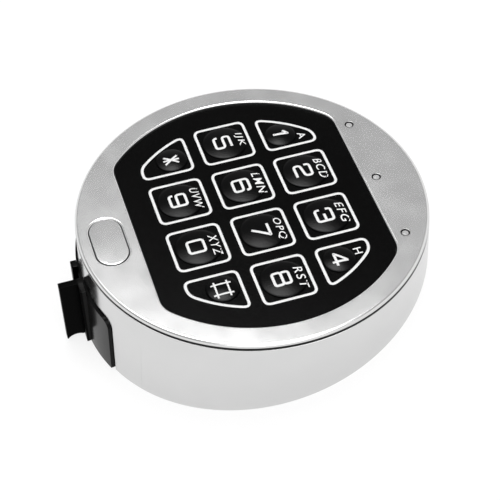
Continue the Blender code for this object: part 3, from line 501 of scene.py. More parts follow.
class Finish(Nodes):
    """A material, from its plain colour and gloss to what is laid over them."""

    def __init__(self, name, colour, roughness, metallic=0.0, **fixed):
        self.name = name
        self.material = bpy.data.materials.new(name)
        self.material.use_nodes = True
        super().__init__(self.material.node_tree)
        self.shader = self.tree.nodes["Principled BSDF"]
        self.set("Base Color", (*colour, 1.0))
        self.set("Roughness", roughness)
        self.set("Metallic", metallic)
        for socket, value in fixed.items():
            self.set(socket.replace("_", " "), value)

    def set(self, name, value):
        self.put(self.shader.inputs[name], value)

    def points(self):
        """Each point's place in the lock's own frame."""
        return self.node("ShaderNodeTexCoord", {}, {}, "Object")

    def turned_points(self, turn):
        return self.node("ShaderNodeMapping", {}, {"Vector": self.points(), "Rotation": turn})

    def grain(self, size, detail=3.0):
        """Noise whose marks are about this many metres across."""
        sockets = {"Vector": self.points(), "Scale": 1.0 / size, "Detail": detail}
        return self.wire("ShaderNodeTexNoise", {}, sockets)

    def wave(self, size, turn):
        """Even ridges this far apart. At a scale of one they are a tenth of pi apart."""
        sockets = {"Vector": self.turned_points(turn), "Scale": math.pi / (10 * size)}
        return self.wire("ShaderNodeTexWave", {"bands_direction": "X"}, sockets, "Fac")

    def patches(self, size):
        """Square patches in the plane of the face, each with a value of its own from zero to one."""
        settings = {"distance": "CHEBYCHEV", "voronoi_dimensions": "2D"}
        sockets = {"Vector": self.turned_points((face_tilt, 0.0, 0.0)), "Scale": 1.0 / size}
        colour = self.node("ShaderNodeTexVoronoi", settings, sockets, "Color")
        return self.wire("ShaderNodeSeparateXYZ", {}, {0: colour})

    def along(self, direction):
        """How far each point lies along a direction from the middle of the back."""
        return self.measure("DOT_PRODUCT", self.points(), direction)

    def from_axis(self, direction):
        """How far each point lies from the line through the middle of the back in this direction."""
        sockets = {0: self.points(), 1: direction}
        across = self.node("ShaderNodeVectorMath", {"operation": "CROSS_PRODUCT"}, sockets)
        return self.measure("LENGTH", across)

    def near(self, point):
        """How far each point lies from one point."""
        return self.measure("DISTANCE", self.points(), tuple(point))

    def step(self, value, edge, soft):
        """Nothing up to an edge, rising to one just past it."""
        return self.range(value, edge, edge + soft, 0.0, 1.0)

    def fade(self, value, edge, soft):
        """One up to an edge, falling to nothing just past it."""
        return self.range(value, edge, edge + soft, 1.0, 0.0)

    def between(self, value, low, high, soft):
        """One between two values, falling to nothing outside them."""
        return self.step(value, low - soft, soft) * self.fade(value, high, soft)

    def blend(self, share, low, high):
        """From one colour to another by a share."""
        low, high = ((*colour, 1.0) if isinstance(colour, tuple) else colour for colour in (low, high))
        return self.node("ShaderNodeMix", {"data_type": "RGBA"}, {"Factor": share, 6: low, 7: high}, 2)

    def lay_over(self, share, colour, roughness, metallic=0.0):
        """Lays another colour and gloss over the finish by a share."""
        for name, value in (("Base Color", colour), ("Roughness", roughness), ("Metallic", metallic)):
            socket = self.shader.inputs[name]
            under = socket.links[0].from_socket if socket.links else socket.default_value
            if name == "Base Color":
                self.set(name, self.blend(share, under, value))
            else:
                self.set(name, self.node("ShaderNodeMix", {}, {0: share, 2: under, 3: value}))

    def bump(self, height, depth, strength=0.5):
        sockets = {"Height": height, "Distance": depth, "Strength": strength}
        self.set("Normal", self.node("ShaderNodeBump", {}, sockets))


wander_size = 9 * MM


def grey(level):
    return (level, level, level)


def on_face(x, y, height):
    """A point given by its place on the tilted face and its height above it."""
    return face_place @ Vector((x, y, height))


def grained(name, colour, roughness, metallic=0.0, size=0.4 * MM, depth=0.01 * MM, change=0.12, **fixed):
    """A moulded, painted or cast finish: fine grain in its height, and slow changes in gloss and colour.

    The grain has a size and a depth. The change is the share by which the colour wanders.
    """
    finish = Finish(name, colour, roughness, metallic, **fixed)
    fine = finish.grain(size)
    slow = finish.grain(wander_size, 2.0)
    low = tuple(c * (1 - change) for c in colour)
    high = tuple(min(1.0, c * (1 + change)) for c in colour)
    finish.set("Base Color", finish.blend(slow, low, high))
    gloss = finish.range(slow, 0.3, 0.7, roughness * 0.9, roughness * 1.1)
    finish.set("Roughness", gloss + fine * (0.1 * roughness))
    finish.bump(fine, depth)
    return finish


def make_satin_chrome():
    """Satin casting, with painted shade darkening the groove under the rim and the walls of the recesses.

    In the recesses the painted shade starts below the rounded rim, and nearer the face round the indicator
    holes.
    """
    finish = grained("satin_chrome", grey(0.73), 0.17, 1.0, 0.25 * MM, 0.0012 * MM, 0.03)
    height = finish.along(face_normal) - centre_depth
    out = finish.from_axis(face_normal)
    soft = 0.02 * MM
    # Painted shade: the groove under the rim is darkened in place of the shadow that falls into it.
    groove = finish.between(height, -groove_bottom - soft, -groove_top + soft, soft)
    groove = groove * finish.step(out, face_flat_radius, 1 * MM)
    # Painted shade down the walls of the recesses and the indicator holes, below their rims.
    holes_from = 36.5 * MM
    below_recess_rim, below_hole_rim = -0.42 * MM, -0.16 * MM
    rim = finish.range(finish.along(up_face), 0.99 * holes_from, holes_from, below_recess_rim, below_hole_rim)
    recess_shade = finish.between(height, -face_thickness, rim, 0.03 * MM)
    all_recesses_within = 49.2 * MM
    recess_shade = recess_shade * finish.fade(out, all_recesses_within, 0.1 * MM)
    # Both masks lay near-black over the chrome as painted shade.
    finish.lay_over(groove + recess_shade, grey(0.03), 0.5)
    return finish


def make_drawer_black():
    """Black moulding with a gloss front. The grip, which stands out past the front, is dull."""
    finish = grained(
        "drawer_black", grey(0.0006), 0.3, 0.0, 0.5 * MM, 0.004 * MM, 0.4,
        Specular_IOR_Level=0.02, Coat_IOR=1.2, Coat_Roughness=0.16,
    )
    front_within = 54.3 * MM
    gloss = finish.range(finish.from_axis(face_normal), front_within, front_within + 0.2 * MM, 0.75, 0.0)
    finish.set("Coat Weight", gloss)
    return finish


def make_clear_lens():
    """A clear pipe, with painted shade darkening it below the shoulder of its lens, down in its hole."""
    finish = grained("clear_lens", grey(0.36), 0.2, 0.0, 0.3 * MM, 0.004 * MM, 0.06)
    shade_below = centre_depth - 0.4 * MM
    # Painted shade: the pipe turns dark where it sits deep in its hole.
    finish.lay_over(finish.fade(finish.along(face_normal), shade_below, 0.12 * MM), grey(0.04), 0.5)
    return finish


def make_insert_brass():
    finish = grained("insert_brass", (0.72, 0.53, 0.24), 0.3, 1.0, 0.2 * MM, 0.006 * MM, 0.08)
    pitch = 0.8 * MM
    knurl = finish.wave(pitch, (0.0, 0.7, 0.6)) * finish.wave(pitch, (0.0, -0.7, -0.6))
    finish.bump(knurl, 0.15 * MM, 0.6)
    return finish


def make_battery_jacket():
    """A dark jacket with one pale band and bright rolled ends."""
    finish = grained("battery_jacket", (0.045, 0.05, 0.06), 0.28, 0.7, 0.3 * MM, 0.003 * MM, 0.1)
    from_end = finish.along((0.0, 1.0, 0.0)) + (battery_end_gap + battery_length)
    band_start, band_end, roll, soft = 33.0 * MM, 36.5 * MM, 1.6 * MM, 0.05 * MM
    finish.lay_over(finish.between(from_end, band_start, band_end, soft), (0.3, 0.31, 0.33), 0.35, 0.4)
    rolled_ends = 1.0 - finish.between(from_end, roll, battery_length - roll, soft)
    finish.lay_over(rolled_ends, (0.62, 0.62, 0.6), 0.25, 1.0)
    return finish


def make_capacitor_sleeve():
    """A dark blue sleeve with a pale stripe and a bare can end."""
    finish = grained("capacitor_sleeve", (0.02, 0.03, 0.09), 0.3, 0.0, 0.2 * MM, 0.003 * MM, 0.1)
    stripe_from, sleeve_foot, soft = 20.7 * MM, centre_depth - 12.1 * MM, 0.05 * MM
    finish.lay_over(finish.step(finish.along((1.0, 0.0, 0.0)), stripe_from, soft), (0.5, 0.52, 0.55), 0.35)
    finish.lay_over(finish.fade(finish.along(face_normal), sleeve_foot, soft), (0.7, 0.7, 0.71), 0.3, 1.0)
    return finish


def make_dome_film():
    """Amber film with nickel where the domes rise above it."""
    finish = grained("dome_film", (0.5, 0.45, 0.34), 0.3, 0.0, 0.3 * MM, 0.003 * MM, 0.06)
    film_top = centre_depth - 2.99 * MM
    finish.lay_over(finish.step(finish.along(face_normal), film_top, 0.02 * MM), (0.62, 0.6, 0.56), 0.22, 1.0)
    return finish


def make_board_green():
    """Board with tracks that run across it in some patches and up it in others."""
    finish = grained("board", (0.012, 0.1, 0.035), 0.3, 0.0, 0.2 * MM, 0.003 * MM, 0.12)
    patch_size, pitch, line = 7 * MM, 1.3 * MM, 0.8
    patch = finish.patches(patch_size)
    across = finish.step(finish.wave(pitch, (face_tilt, 0.0, 0.0)), line, 0.1)
    upward = finish.step(finish.wave(pitch, (face_tilt, 0.0, quarter_turn)), line, 0.1)
    tracks = across * finish.step(patch, 0.62, 0.01) + upward * finish.fade(patch, 0.38, 0.01)
    finish.lay_over(tracks, (0.03, 0.2, 0.08), 0.25)
    return finish


def make_chip_black():
    """The chip's black with a round mark at its first pin."""
    finish = grained("chip_black", (0.015, 0.015, 0.016), 0.55, 0.0, 0.12 * MM, 0.006 * MM, 0.15)
    mark, radius = on_face(22.8 * MM, 15.2 * MM, -6.6 * MM), 0.5 * MM
    finish.lay_over(finish.fade(finish.near(mark), radius, 0.05 * MM), grey(0.09), 0.3)
    return finish


def make_buzzer_black():
    """The buzzer's black, with its sound hole painted in the middle of its foot as a near-black disc of
    shade.
    """
    finish = grained("buzzer_black", (0.012, 0.012, 0.013), 0.42, 0.0, 0.25 * MM, 0.012 * MM, 0.2)
    sound_hole, radius = on_face(-26 * MM, 12 * MM, -10.7 * MM), 1.0 * MM
    # Painted shade: a darker disc stands in for the inside of the sound hole.
    finish.lay_over(finish.fade(finish.near(sound_hole), radius, 0.06 * MM), grey(0.0005), 0.9)
    return finish


satin_chrome = make_satin_chrome()
badge_chrome = grained("badge_chrome", grey(0.73), 0.15, 1.0, 0.25 * MM, 0.0012 * MM, 0.02)
panel_black = grained(
    "gloss_panel", grey(0.0002), 0.13, 0.0, 0.38 * MM, 0.09 * MM, 0.5, Specular_IOR_Level=0.062
)
key_black = grained(
    "gloss_key", (0.0002, 0.0002, 0.0003), 0.12, 0.0, 0.38 * MM, 0.05 * MM, 0.4, Specular_IOR_Level=0.11
)
print_white = grained("print_white", grey(0.71), 0.45, 0.0, 0.2 * MM, 0.004 * MM, 0.04)
drawer_black = make_drawer_black()
moulded_black = grained("moulded_black", (0.02, 0.02, 0.021), 0.5, 0.0, 0.35 * MM, 0.02 * MM, 0.2)
clear_lens = make_clear_lens()
led_body = grained("led_body", (0.78, 0.75, 0.55), 0.35, 0.0, 0.2 * MM, 0.004 * MM, 0.05)
screw_steel = grained("screw_steel", (0.5, 0.5, 0.51), 0.32, 1.0, 0.15 * MM, 0.004 * MM, 0.08)
insert_brass = make_insert_brass()
spring_nickel = grained("spring_nickel", (0.66, 0.64, 0.58), 0.26, 1.0, 0.15 * MM, 0.003 * MM, 0.06)
lead_red = grained("lead_red", (0.5, 0.02, 0.02), 0.45, 0.0, 0.2 * MM, 0.004 * MM, 0.1)
lead_black = grained("lead_black", grey(0.015), 0.45, 0.0, 0.2 * MM, 0.004 * MM, 0.2)
battery_jacket = make_battery_jacket()
capacitor_sleeve = make_capacitor_sleeve()
dome_film = make_dome_film()
board_green = make_board_green()
chip_black = make_chip_black()
buzzer_black = make_buzzer_black()

# The finish of each solid, by how its name starts
finishes = {
    "badge_plate": satin_chrome,
    "base_plate": moulded_black,
    "base_screw": screw_steel,
    "board_screw": screw_steel,
    "battery_case": battery_jacket,
    "battery_lead_black": lead_black,
    "battery_lead_red": lead_red,
    "battery_negative": spring_nickel,
    "battery_positive": spring_nickel,
    "battery_drawer": drawer_black,
    "buzzer": buzzer_black,
    "cable_socket": moulded_black,
    "capacitor": capacitor_sleeve,
    "circuit_board": board_green,
    "contact_block": moulded_black,
    "contact_spring": spring_nickel,
    "controller_chip": chip_black,
    "dome_sheet": dome_film,
    "housing": satin_chrome,
    "indicator_led": led_body,
    "key_": key_black,
    "keypad_panel": panel_black,
    "light_pipe": clear_lens,
    "mount_insert": insert_brass,
}


def finish_of(name):
    return next(finish for start, finish in finishes.items() if name.startswith(start))


for node_name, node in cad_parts.items():
    node.data.materials.clear()
    node.data.materials.append(finish_of(node_name).material)


def fit(piece, finish, slot, body, *nodes):
    """Gives a finished piece its material and the body it moves with, and hides the solids it stands for."""
    piece.data.materials.clear()
    piece.data.materials.append(finish.material)
    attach(piece, body)
    if nodes:
        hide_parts(*nodes)
    return piece


# Housing

def wall_radius(depth):
    """Outer radius of the drafted wall, this far below the face."""
    return face_radius + depth * math.tan(wall_draft)


def housing_profile():
    """From the inside of the face down the inside of the wall and up its outside to the rim."""
    inner = wall_radius(face_thickness) - wall
    foot = wall_radius(shell_depth)
    profile = [(inner - inner_corner, -face_thickness), (inner, -face_thickness - inner_corner)]
    profile += [(foot - wall, -shell_depth), (foot, -shell_depth)]
    profile += [
        (wall_radius(groove_bottom), -groove_bottom - groove_ease),
        (face_radius - groove_ease, -groove_bottom),
        (face_radius - groove_depth, -groove_bottom),
        (face_radius - groove_depth, -groove_top),
        (face_radius - groove_ease, -groove_top),
        (face_radius, -groove_top + groove_ease),
    ]
    return profile + arc_points(face_radius - rim_round, -rim_round, rim_round, 0.0, quarter_turn, 10)


def add_bosses(housing):
    """Upright posts that take the base's screws."""
    for x, y in [(side * x, y) for x, y in boss_pairs for side in (-1, 1)]:
        top = (centre_depth - y * sine) / cosine - face_thickness / 2
        post = (boss_radius, boss_foot, top, "UNION")
        bore = (bore_radius, bore_foot, bore_top, "DIFFERENCE")
        for radius, low, high, operation in (post, bore):
            tool = rod("boss", x, y, radius, low, high, 32)
            combine(housing, settle(tool, face_place.inverted()), operation)


def cut_drawer_window(housing):
    half_width, height, corner = drawer_window_half_width, drawer_window_height, drawer_window_corner
    opening = rounded_slab("opening", 0.0, 0.0, half_width, height, corner, *drawer_window_reach)
    opening.matrix_world = face_place.inverted() @ Matrix.Rotation(quarter_turn, 4, "X")
    combine(housing, opening)


def cut_keypad_recess(housing):
    """The recess for the panel, with a rounded rim, and the opening behind the keys."""
    wider = seat_gap + recess_rim
    size = (panel_radius + wider, panel_half_height + wider, panel_corner + recess_rim)
    recess = chorded_disc("recess", *size, -recess_rim, tool_above)
    combine(housing, flared(recess, recess_rim, recess_depth))
    size = (window_radius, window_half_height, panel_corner)
    combine(housing, chorded_disc("key_opening", *size, -tool_below, tool_above))


def cut_badge_recess(housing):
    half_x, half_y = badge_length / 2 + badge_rim, badge_width / 2 + badge_rim
    size = (half_x, half_y, half_y - oval_flat)
    recess = rounded_slab("badge_recess", 0.0, badge_y, *size, -badge_rim, tool_above, 16)
    combine(housing, flared(recess, badge_rim, badge_thickness + seat_gap))


def cut_indicator_holes(housing):
    for place in (-1, 0, 1):
        hole = rod("hole", place * light_spacing, light_y, pipe_radius + pipe_gap, -tool_below, tool_above)
        combine(housing, hole)


def make_housing():
    housing = turned("housing_shell", housing_profile(), 240)
    below = block("below", (-tool_far, -tool_far, -tool_far), (tool_far, tool_far, 0.0))
    combine(housing, settle(below, face_place.inverted()))
    add_bosses(housing)
    cut_drawer_window(housing)
    cut_keypad_recess(housing)
    cut_badge_recess(housing)
    cut_indicator_holes(housing)

    def at_holes(edge):
        return level_at(edge, 0.0) and sharp(edge) and edge.verts[0].co.y > light_y - hole_margin

    def at_window(edge):
        middle = middle_of(edge)
        return middle.y < -face_radius + window_margin and middle.z < -window_margin and sharp(edge, 1.0)

    ease(housing, hole_ease, at_holes)
    ease(housing, window_ease, at_window, 1)
    smooth(housing, flat=lambda p: abs(p.z) < level_slack and math.hypot(p.x, p.y) < face_flat_radius)
    settle(housing)
    return fit(housing, satin_chrome, "satin_chrome", "lock_body", "housing")


# Keypad

def key_cells():
    """Each key's name, the middle of its outline, and whether it is one of the four corner keys."""
    for row, names in enumerate(key_rows):
        for column, name in enumerate(names):
            x, y = (column - middle_column) * key_pitch_x, (middle_row - row) * key_pitch_y
            yield name, x, y, row != middle_row and column in (0, 3)


def key_places():
    """Each key's name, its middle and its radius. A corner key is small and sits further in."""
    for name, x, y, in_corner in key_cells():
        if in_corner:
            x -= math.copysign(corner_key_shift[0], x)
            y -= math.copysign(corner_key_shift[1], y)
        yield name, x, y + key_grid_lift, corner_key_radius if in_corner else key_radius


def make_panel():
    """The panel's faces are parted between the keys, so that none of them runs round several holes."""
    size = (panel_radius, panel_half_height, panel_corner)
    panel = chorded_disc("keypad_overlay", *size, -panel_sink - panel_thickness, -panel_sink)
    with shaping(panel):
        part_faces((1, 0, 0), [(column * key_pitch_x, 0.0, 0.0) for column in (-1, 0, 1)])
        part_faces((0, 1, 0), [(0.0, row * key_pitch_y + key_grid_lift, 0.0) for row in (-0.5, 0.5)])
    for name, x, y, radius in key_places():
        combine(panel, rod("key_hole", x, y, radius + key_gap, -tool_below, tool_above, 64))
    ease(panel, panel_ease, lambda edge: level_at(edge, -panel_sink) and sharp(edge))
    smooth(panel)
    settle(panel)
    return fit(panel, panel_black, "gloss_panel", "lock_body", "keypad_panel")


def dome_height(radius, out):
    """Height of a key's domed top above the panel, this far out from its middle."""
    rise = key_crown - key_edge
    sphere = (radius**2 + rise**2) / (2 * rise)
    return key_crown - sphere + math.sqrt(sphere**2 - out**2)


def make_keys():
    """Each key from the foot of its stem, over its flange and side, to its domed top."""
    for name, x, y, radius in key_places():
        edge = radius - key_edge_round
        flange = radius + flange_width
        profile = [(stem_radius, -stem_foot), (stem_radius, -flange_foot), (flange, -flange_foot)]
        profile += [(flange, -flange_top), (radius, -flange_top), (radius, key_edge - key_edge_round)]
        profile += [(edge + key_edge_round * 2 / 3, dome_height(radius, edge) - key_edge_round / 3)]
        profile += [(edge * share, dome_height(radius, edge * share)) for share in dome_rings]
        key = turned(name + "_dome_top", profile, 72)
        smooth(key, 40.0)
        settle(key, face_place @ Matrix.Translation((x, y, -panel_sink)))
        fit(key, key_black, "gloss_key", name + "_cap", name)


# What is printed on the keypad

def bend(before, tip, after, reach, steps=5):
    """Points round one corner of a line."""
    tip = Vector(tip)
    start = tip + (Vector(before) - tip).normalized() * reach
    end = tip + (Vector(after) - tip).normalized() * reach
    shares = [i / steps for i in range(steps + 1)]
    return [start * (1 - t) ** 2 + tip * 2 * t * (1 - t) + end * t**2 for t in shares]


def eased_line(corners, reach, closed):
    """The line through these corners, with its bends eased but its ends as they are."""
    last = len(corners) - 1
    points = []
    for i, tip in enumerate(corners):
        if not closed and i in (0, last):
            points.append(Vector(tip))
        else:
            points += bend(corners[i - 1], tip, corners[(i + 1) % len(corners)], reach)
    return points


def closely(points, closed):
    """The same line with points near enough to one another to follow a domed surface."""
    ends = points[1:] + points[:1] if closed else points[1:]
    filled = []
    for start, end in zip(points, ends):
        count = max(1, math.ceil((end - start).length / line_step))
        filled += [start.lerp(end, i / count) for i in range(count)]
    return filled if closed else filled + [points[-1]]


def flat_curve(name, points, closed):
    curve = bpy.data.curves.new(name, "CURVE")
    curve.dimensions = "2D"
    spline = curve.splines.new("POLY")
    spline.points.add(len(points) - 1)
    for point, (x, y) in zip(spline.points, points):
        point.co = (x, y, 0.0, 1.0)
    spline.use_cyclic_u = closed
    return curve


def stroke(name, points, closed, width, low, high):
    """A flat printed line of this width along the points."""
    corners = ((-width / 2, low), (width / 2, low), (width / 2, high), (-width / 2, high))
    section = stand("section", flat_curve("section", corners, True))
    line = flat_curve(name, [tuple(point) for point in points], closed)
    line.bevel_mode = "OBJECT"
    line.bevel_object = section
    line.use_fill_caps = True
    take(stand(name, line))
    bpy.ops.object.convert(target="MESH")
    bpy.data.objects.remove(section)
    piece = bpy.context.object
    with shaping(piece):
        bpy.ops.mesh.remove_doubles(threshold=weld)
        face_outwards()
    return piece


def lettering(name, text, x, y, width, height, slant, low, high):
    """Plain letters that fill a box of this width and height about a point."""
    clear_selection()
    bpy.ops.object.text_add()
    font = named(name).data
    font.body = text
    font.size = letter_size
    font.shear = slant
    font.offset = letter_boldness
    font.space_character = letter_spacing
    font.extrude = (high - low) / 2
    bpy.ops.object.convert(target="MESH")
    letters = bpy.context.object
    corners = [Vector(corner) for corner in letters.bound_box]
    least = Vector(map(min, zip(*corners)))
    most = Vector(map(max, zip(*corners)))
    size = most - least
    middle = (least + most) / 2
    scale_y = height / size.y
    scale_x = min(width / size.x, widest_stretch * scale_y)
    letters.scale = (scale_x, scale_y, 1.0)
    letters.location = (x - middle.x * scale_x, y - middle.y * scale_y, (low + high) / 2)
    take(letters)
    fix_place()
    return letters


def gathered(name, pieces):
    """Joins pieces into one."""
    take(pieces[0])
    for piece in pieces:
        piece.select_set(True)
    if len(pieces) > 1:
        bpy.ops.object.join()
    return named(name)


# Lines of each sign in a box from -1 to 1: how far its corners are eased, whether it is closed, its corners
signs = {
    "key_1": [(0.2, False, [(-0.62, 0.42), (0.3, 1), (0.05, -1)])],
    "key_2": [(0.9, False, [(-1, 0.35), (-1, 1), (1, 1), (1, 0.08), (-1, -0.2), (-1, -1), (1, -1)])],
    "key_3": [
        (0.9, False, [(-1, 0.38), (-1, 1), (1, 1), (1, -1), (-1, -1), (-1, -0.38)]),
        (0.0, False, [(-0.2, 0.02), (1, 0.02)]),
    ],
    "key_4": [
        (0.15, False, [(0.42, 1), (-1, -0.5), (1, -0.5)]),
        (0.0, False, [(0.42, 1.08), (0.36, -1.05)]),
    ],
    "key_5": [(0.9, False, [(1, 1), (-1, 1), (-1, 0.14), (1, 0.14), (1, -1), (-1, -1), (-1, -0.5)])],
    "key_6": [(0.9, False, [(1, 0.5), (1, 1), (-1, 1), (-1, -1), (1, -1), (1, 0.12), (-0.95, 0.12)])],
    "key_7": [(0.25, False, [(-1, 1), (1, 1), (-0.4, -1.08)])],
    "key_8": [
        (0.8, True, [(-0.95, 0.06), (0.95, 0.06), (0.95, 1), (-0.95, 1)]),
        (0.8, True, [(-1, -1), (1, -1), (1, 0.06), (-1, 0.06)]),
    ],
    "key_9": [(0.9, False, [(-1, -0.5), (-1, -1), (1, -1), (1, 1), (-1, 1), (-1, -0.12), (0.95, -0.12)])],
    "key_0": [(0.9, True, [(-1, -1), (1, -1), (1, 1), (-1, 1)])],
    "key_star": [
        (0.0, False, [(0, 1), (0, -1)]),
        (0.0, False, [(-1, 0.86), (1, -0.86)]),
        (0.0, False, [(1, 0.86), (-1, -0.86)]),
    ],
    "key_hash": [
        (0.0, False, [(-0.63, 1), (-0.63, -1)]),
        (0.0, False, [(0.63, 1), (0.63, -1)]),
        (0.0, False, [(-1, 0.63), (1, 0.63)]),
        (0.0, False, [(-1, -0.63), (1, -0.63)]),
    ],
}

# Signs with sizes of their own: half width, half height, stroke, and place on the key across and up
own_sizes = {
    "key_1": (1.6 * MM, 2.3 * MM, digit_stroke, -0.2 * MM, 0.0),
    "key_4": (2.3 * MM, 2.2 * MM, 0.74 * MM, 0.2 * MM, 0.0),
    "key_star": (1.5 * MM, 2.45 * MM, 0.65 * MM, 0.3 * MM, -0.2 * MM),
    "key_hash": (2.95 * MM, 2.95 * MM, 0.54 * MM, 0.3 * MM, -0.2 * MM),
}

# The letters above each digit: their width and how far right of the key's middle they sit
words = {
    "key_2": ("BCD", 8.2 * MM, 0.35 * MM),
    "key_3": ("EFG", 7.9 * MM, 0.15 * MM),
    "key_5": ("IJK", 6.3 * MM, 0.0),
    "key_6": ("LMN", 8.5 * MM, 0.3 * MM),
    "key_7": ("OPQ", 8.4 * MM, 0.5 * MM),
    "key_8": ("RST", 8.1 * MM, 1.0 * MM),
    "key_9": ("UVW", 8.3 * MM, 0.4 * MM),
    "key_0": ("XYZ", 7.9 * MM, 0.75 * MM),
}

# The letter above each upper corner key: its side, how far in from the key's column it sits, and its width
corner_letters = (("A", -1, 4.15 * MM, 2.7 * MM), ("H", 1, 3.55 * MM, 2.3 * MM))


def sign_strokes(name):
    """The printed lines of one key's sign, about the key's middle."""
    standard = (*digit_half, digit_stroke, 0.0, digit_y)
    half_x, half_y, width, shift_x, shift_y = own_sizes.get(name, standard)
    pieces = []
    for layer, (reach, closed, corners) in enumerate(signs[name]):
        points = [(shift_x + across * half_x, shift_y + along * half_y) for across, along in corners]
        points = closely(eased_line(points, reach * MM, closed), closed)
        high = print_depth + layer * print_step
        pieces.append(stroke(f"{name}_line_{layer}", points, closed, width, -print_depth, high))
    return pieces


def word_halves(name, radius):
    """A key's letters in two: those parts that lie on the key, and those that lie beyond its hole."""
    text, width, shift = words[name]
    place = (shift, word_y, width, word_height, word_slant, 0.0, 2 * print_depth)
    inside, outside = radius - word_stop, radius + key_gap + word_restart
    on_key = lettering(name + "_word", text, *place)
    combine(on_key, rod("edge", 0.0, 0.0, inside, -trim_reach, trim_reach), "INTERSECT")
    beyond = lettering(name + "_rest", text, *place)
    combine(beyond, rod("edge", 0.0, 0.0, outside, -trim_reach, trim_reach))
    return on_key, beyond


def make_legends():
    """Each key's sign and letters lie on its domed top and move with it.

    The letters run over the key's edge, so what lies beyond it is printed on the panel.
    """
    on_panel = []
    for name, x, y, radius in key_places():
        pieces = sign_strokes(name)
        if name in words:
            on_key, beyond = word_halves(name, radius)
            pieces.append(on_key)
            on_panel.append(settle(beyond, Matrix.Translation((x, y, -print_depth))))
        legend = gathered(name + "_legend", pieces)
        for vertex in legend.data.vertices:
            vertex.co.z += dome_height(radius, math.hypot(vertex.co.x, vertex.co.y))
        settle(legend, face_place @ Matrix.Translation((x, y, -panel_sink)))
        fit(legend, print_white, None, name + "_cap")
    return on_panel


def outline_points(x, y, in_corner):
    """The middle of one key's printed outline. A corner key's outer side follows the round face."""
    half_x, half_y = outline_half
    if not in_corner:
        left, right, low, high = x - half_x, x + half_x, y - half_y, y + half_y
        return eased_line([(left, low), (right, low), (right, high), (left, high)], outline_corner, True)
    side, level = math.copysign(1, x), math.copysign(1, y)
    inner_x = x - side * half_x
    inner_y, outer_y = y - level * half_y, y + level * half_y

    def at_turn(turn):
        return Vector((side * outline_radius * math.cos(turn), outline_radius * math.sin(turn)))

    def on_arc(height, off):
        return at_turn(math.asin(height / outline_radius) - level * off / outline_radius)

    low_tip, high_tip = on_arc(inner_y, 0.0), on_arc(outer_y, 0.0)
    low_end, high_end = on_arc(inner_y, -outline_tip), on_arc(outer_y, outline_tip)
    points = bend(high_tip, (inner_x, outer_y), (inner_x, inner_y), outline_top_corner)
    points += bend((inner_x, outer_y), (inner_x, inner_y), low_tip, outline_corner)
    points += bend((inner_x, inner_y), low_tip, low_end, outline_tip)
    start, end = (math.atan2(p.y, side * p.x) for p in (low_end, high_end))
    points += [at_turn(start + (end - start) * i / 12) for i in range(1, 12)]
    return points + bend(high_end, high_tip, (inner_x, outer_y), outline_tip)


def make_panel_print(pieces):
    """The outlines, the two corner letters and the ends of the words, all printed on the panel."""
    for name, x, y, in_corner in key_cells():
        points = outline_points(x, y + key_grid_lift, in_corner)
        pieces.append(stroke(name + "_outline", points, True, outline_stroke, -print_depth, print_depth))
    y = key_pitch_y + key_grid_lift + corner_letter_y
    for text, side, inward, width in corner_letters:
        x = side * (middle_column * key_pitch_x - inward)
        size = (width, corner_letter_height)
        pieces.append(lettering("corner_" + text, text, x, y, *size, 0.0, 0.0, print_depth))
    panel_print = gathered("keypad_print", pieces)
    settle(panel_print, face_place @ Matrix.Translation((0.0, 0.0, -panel_sink)))
    return fit(panel_print, print_white, None, "lock_body")


# Badge plate and indicator lights

def make_badge():
    """A bare oval plate with eased edges and a slight crown."""
    half_x, half_y = badge_length / 2 - badge_gap, badge_width / 2 - badge_gap
    size = (half_x, half_y, half_y - oval_flat)
    badge = rounded_slab("badge_plate_bare", 0.0, 0.0, *size, -badge_thickness, 0.0, 16)
    ease(badge, badge_ease, lambda edge: level_at(edge, 0.0), 3)
    with shaping(badge):
        for axis in ((1, 0, 0), (0, 1, 0)):
            part_faces(axis, [Vector(axis) * i * badge_grid for i in range(-7, 8)])
    for vertex in badge.data.vertices:
        if vertex.co.z > -badge_thickness / 2:
            fall = (vertex.co.x / half_x) ** 2 + (vertex.co.y / half_x) ** 2
            vertex.co.z += badge_crown * (0.4 - fall)
    smooth(badge, 40.0)
    settle(badge, face_place @ Matrix.Translation((0.0, badge_y, 0.0)))
    return fit(badge, badge_chrome, "satin_chrome", "lock_body", "badge_plate")


def make_pipes():
    """A light pipe in each hole, with a small shoulder under its lens and a low crown."""
    top = -pipe_sink
    shoulder = top - lens_height
    shape = [(1.0, -pipe_foot), (1.0, shoulder), (0.84, shoulder + lens_ease), (0.84, top - lens_ease)]
    shape += [(0.76, top), (0.5, top + 2 / 3 * lens_crown), (0.2, top + lens_crown)]
    for name, place in (("left", -1), ("middle", 0), ("right", 1)):
        profile = [(share * pipe_radius, height) for share, height in shape]
        pipe = turned("light_pipe_lens_" + name, profile, 40)
        smooth(pipe, 50.0)
        settle(pipe, face_place @ Matrix.Translation((place * light_spacing, light_y, 0.0)))
        fit(pipe, clear_lens, "clear_lens", "lock_body", "light_pipe_" + name)


# Battery drawer

def face_level(face_y, height):
    """Height in the tilted face's frame of a place that is this high above the back."""
    return (height - face_centre.z + face_y * sine) / cosine


front_y = -(wall_radius(front_height) + front_proud)
front_top = face_level(front_y, front_height)
fin_y, ear_y = front_y - fin_reach, front_y - ear_reach


def wall_cone(name, proud, over=0.0, sides=360):
    """A solid cone this far proud of the drafted wall, longer by an overrun at each end."""
    foot = wall_radius(lowest_depth) + proud
    return turned(name, [(foot, -lowest_depth - over), (face_radius + proud, over)], sides)


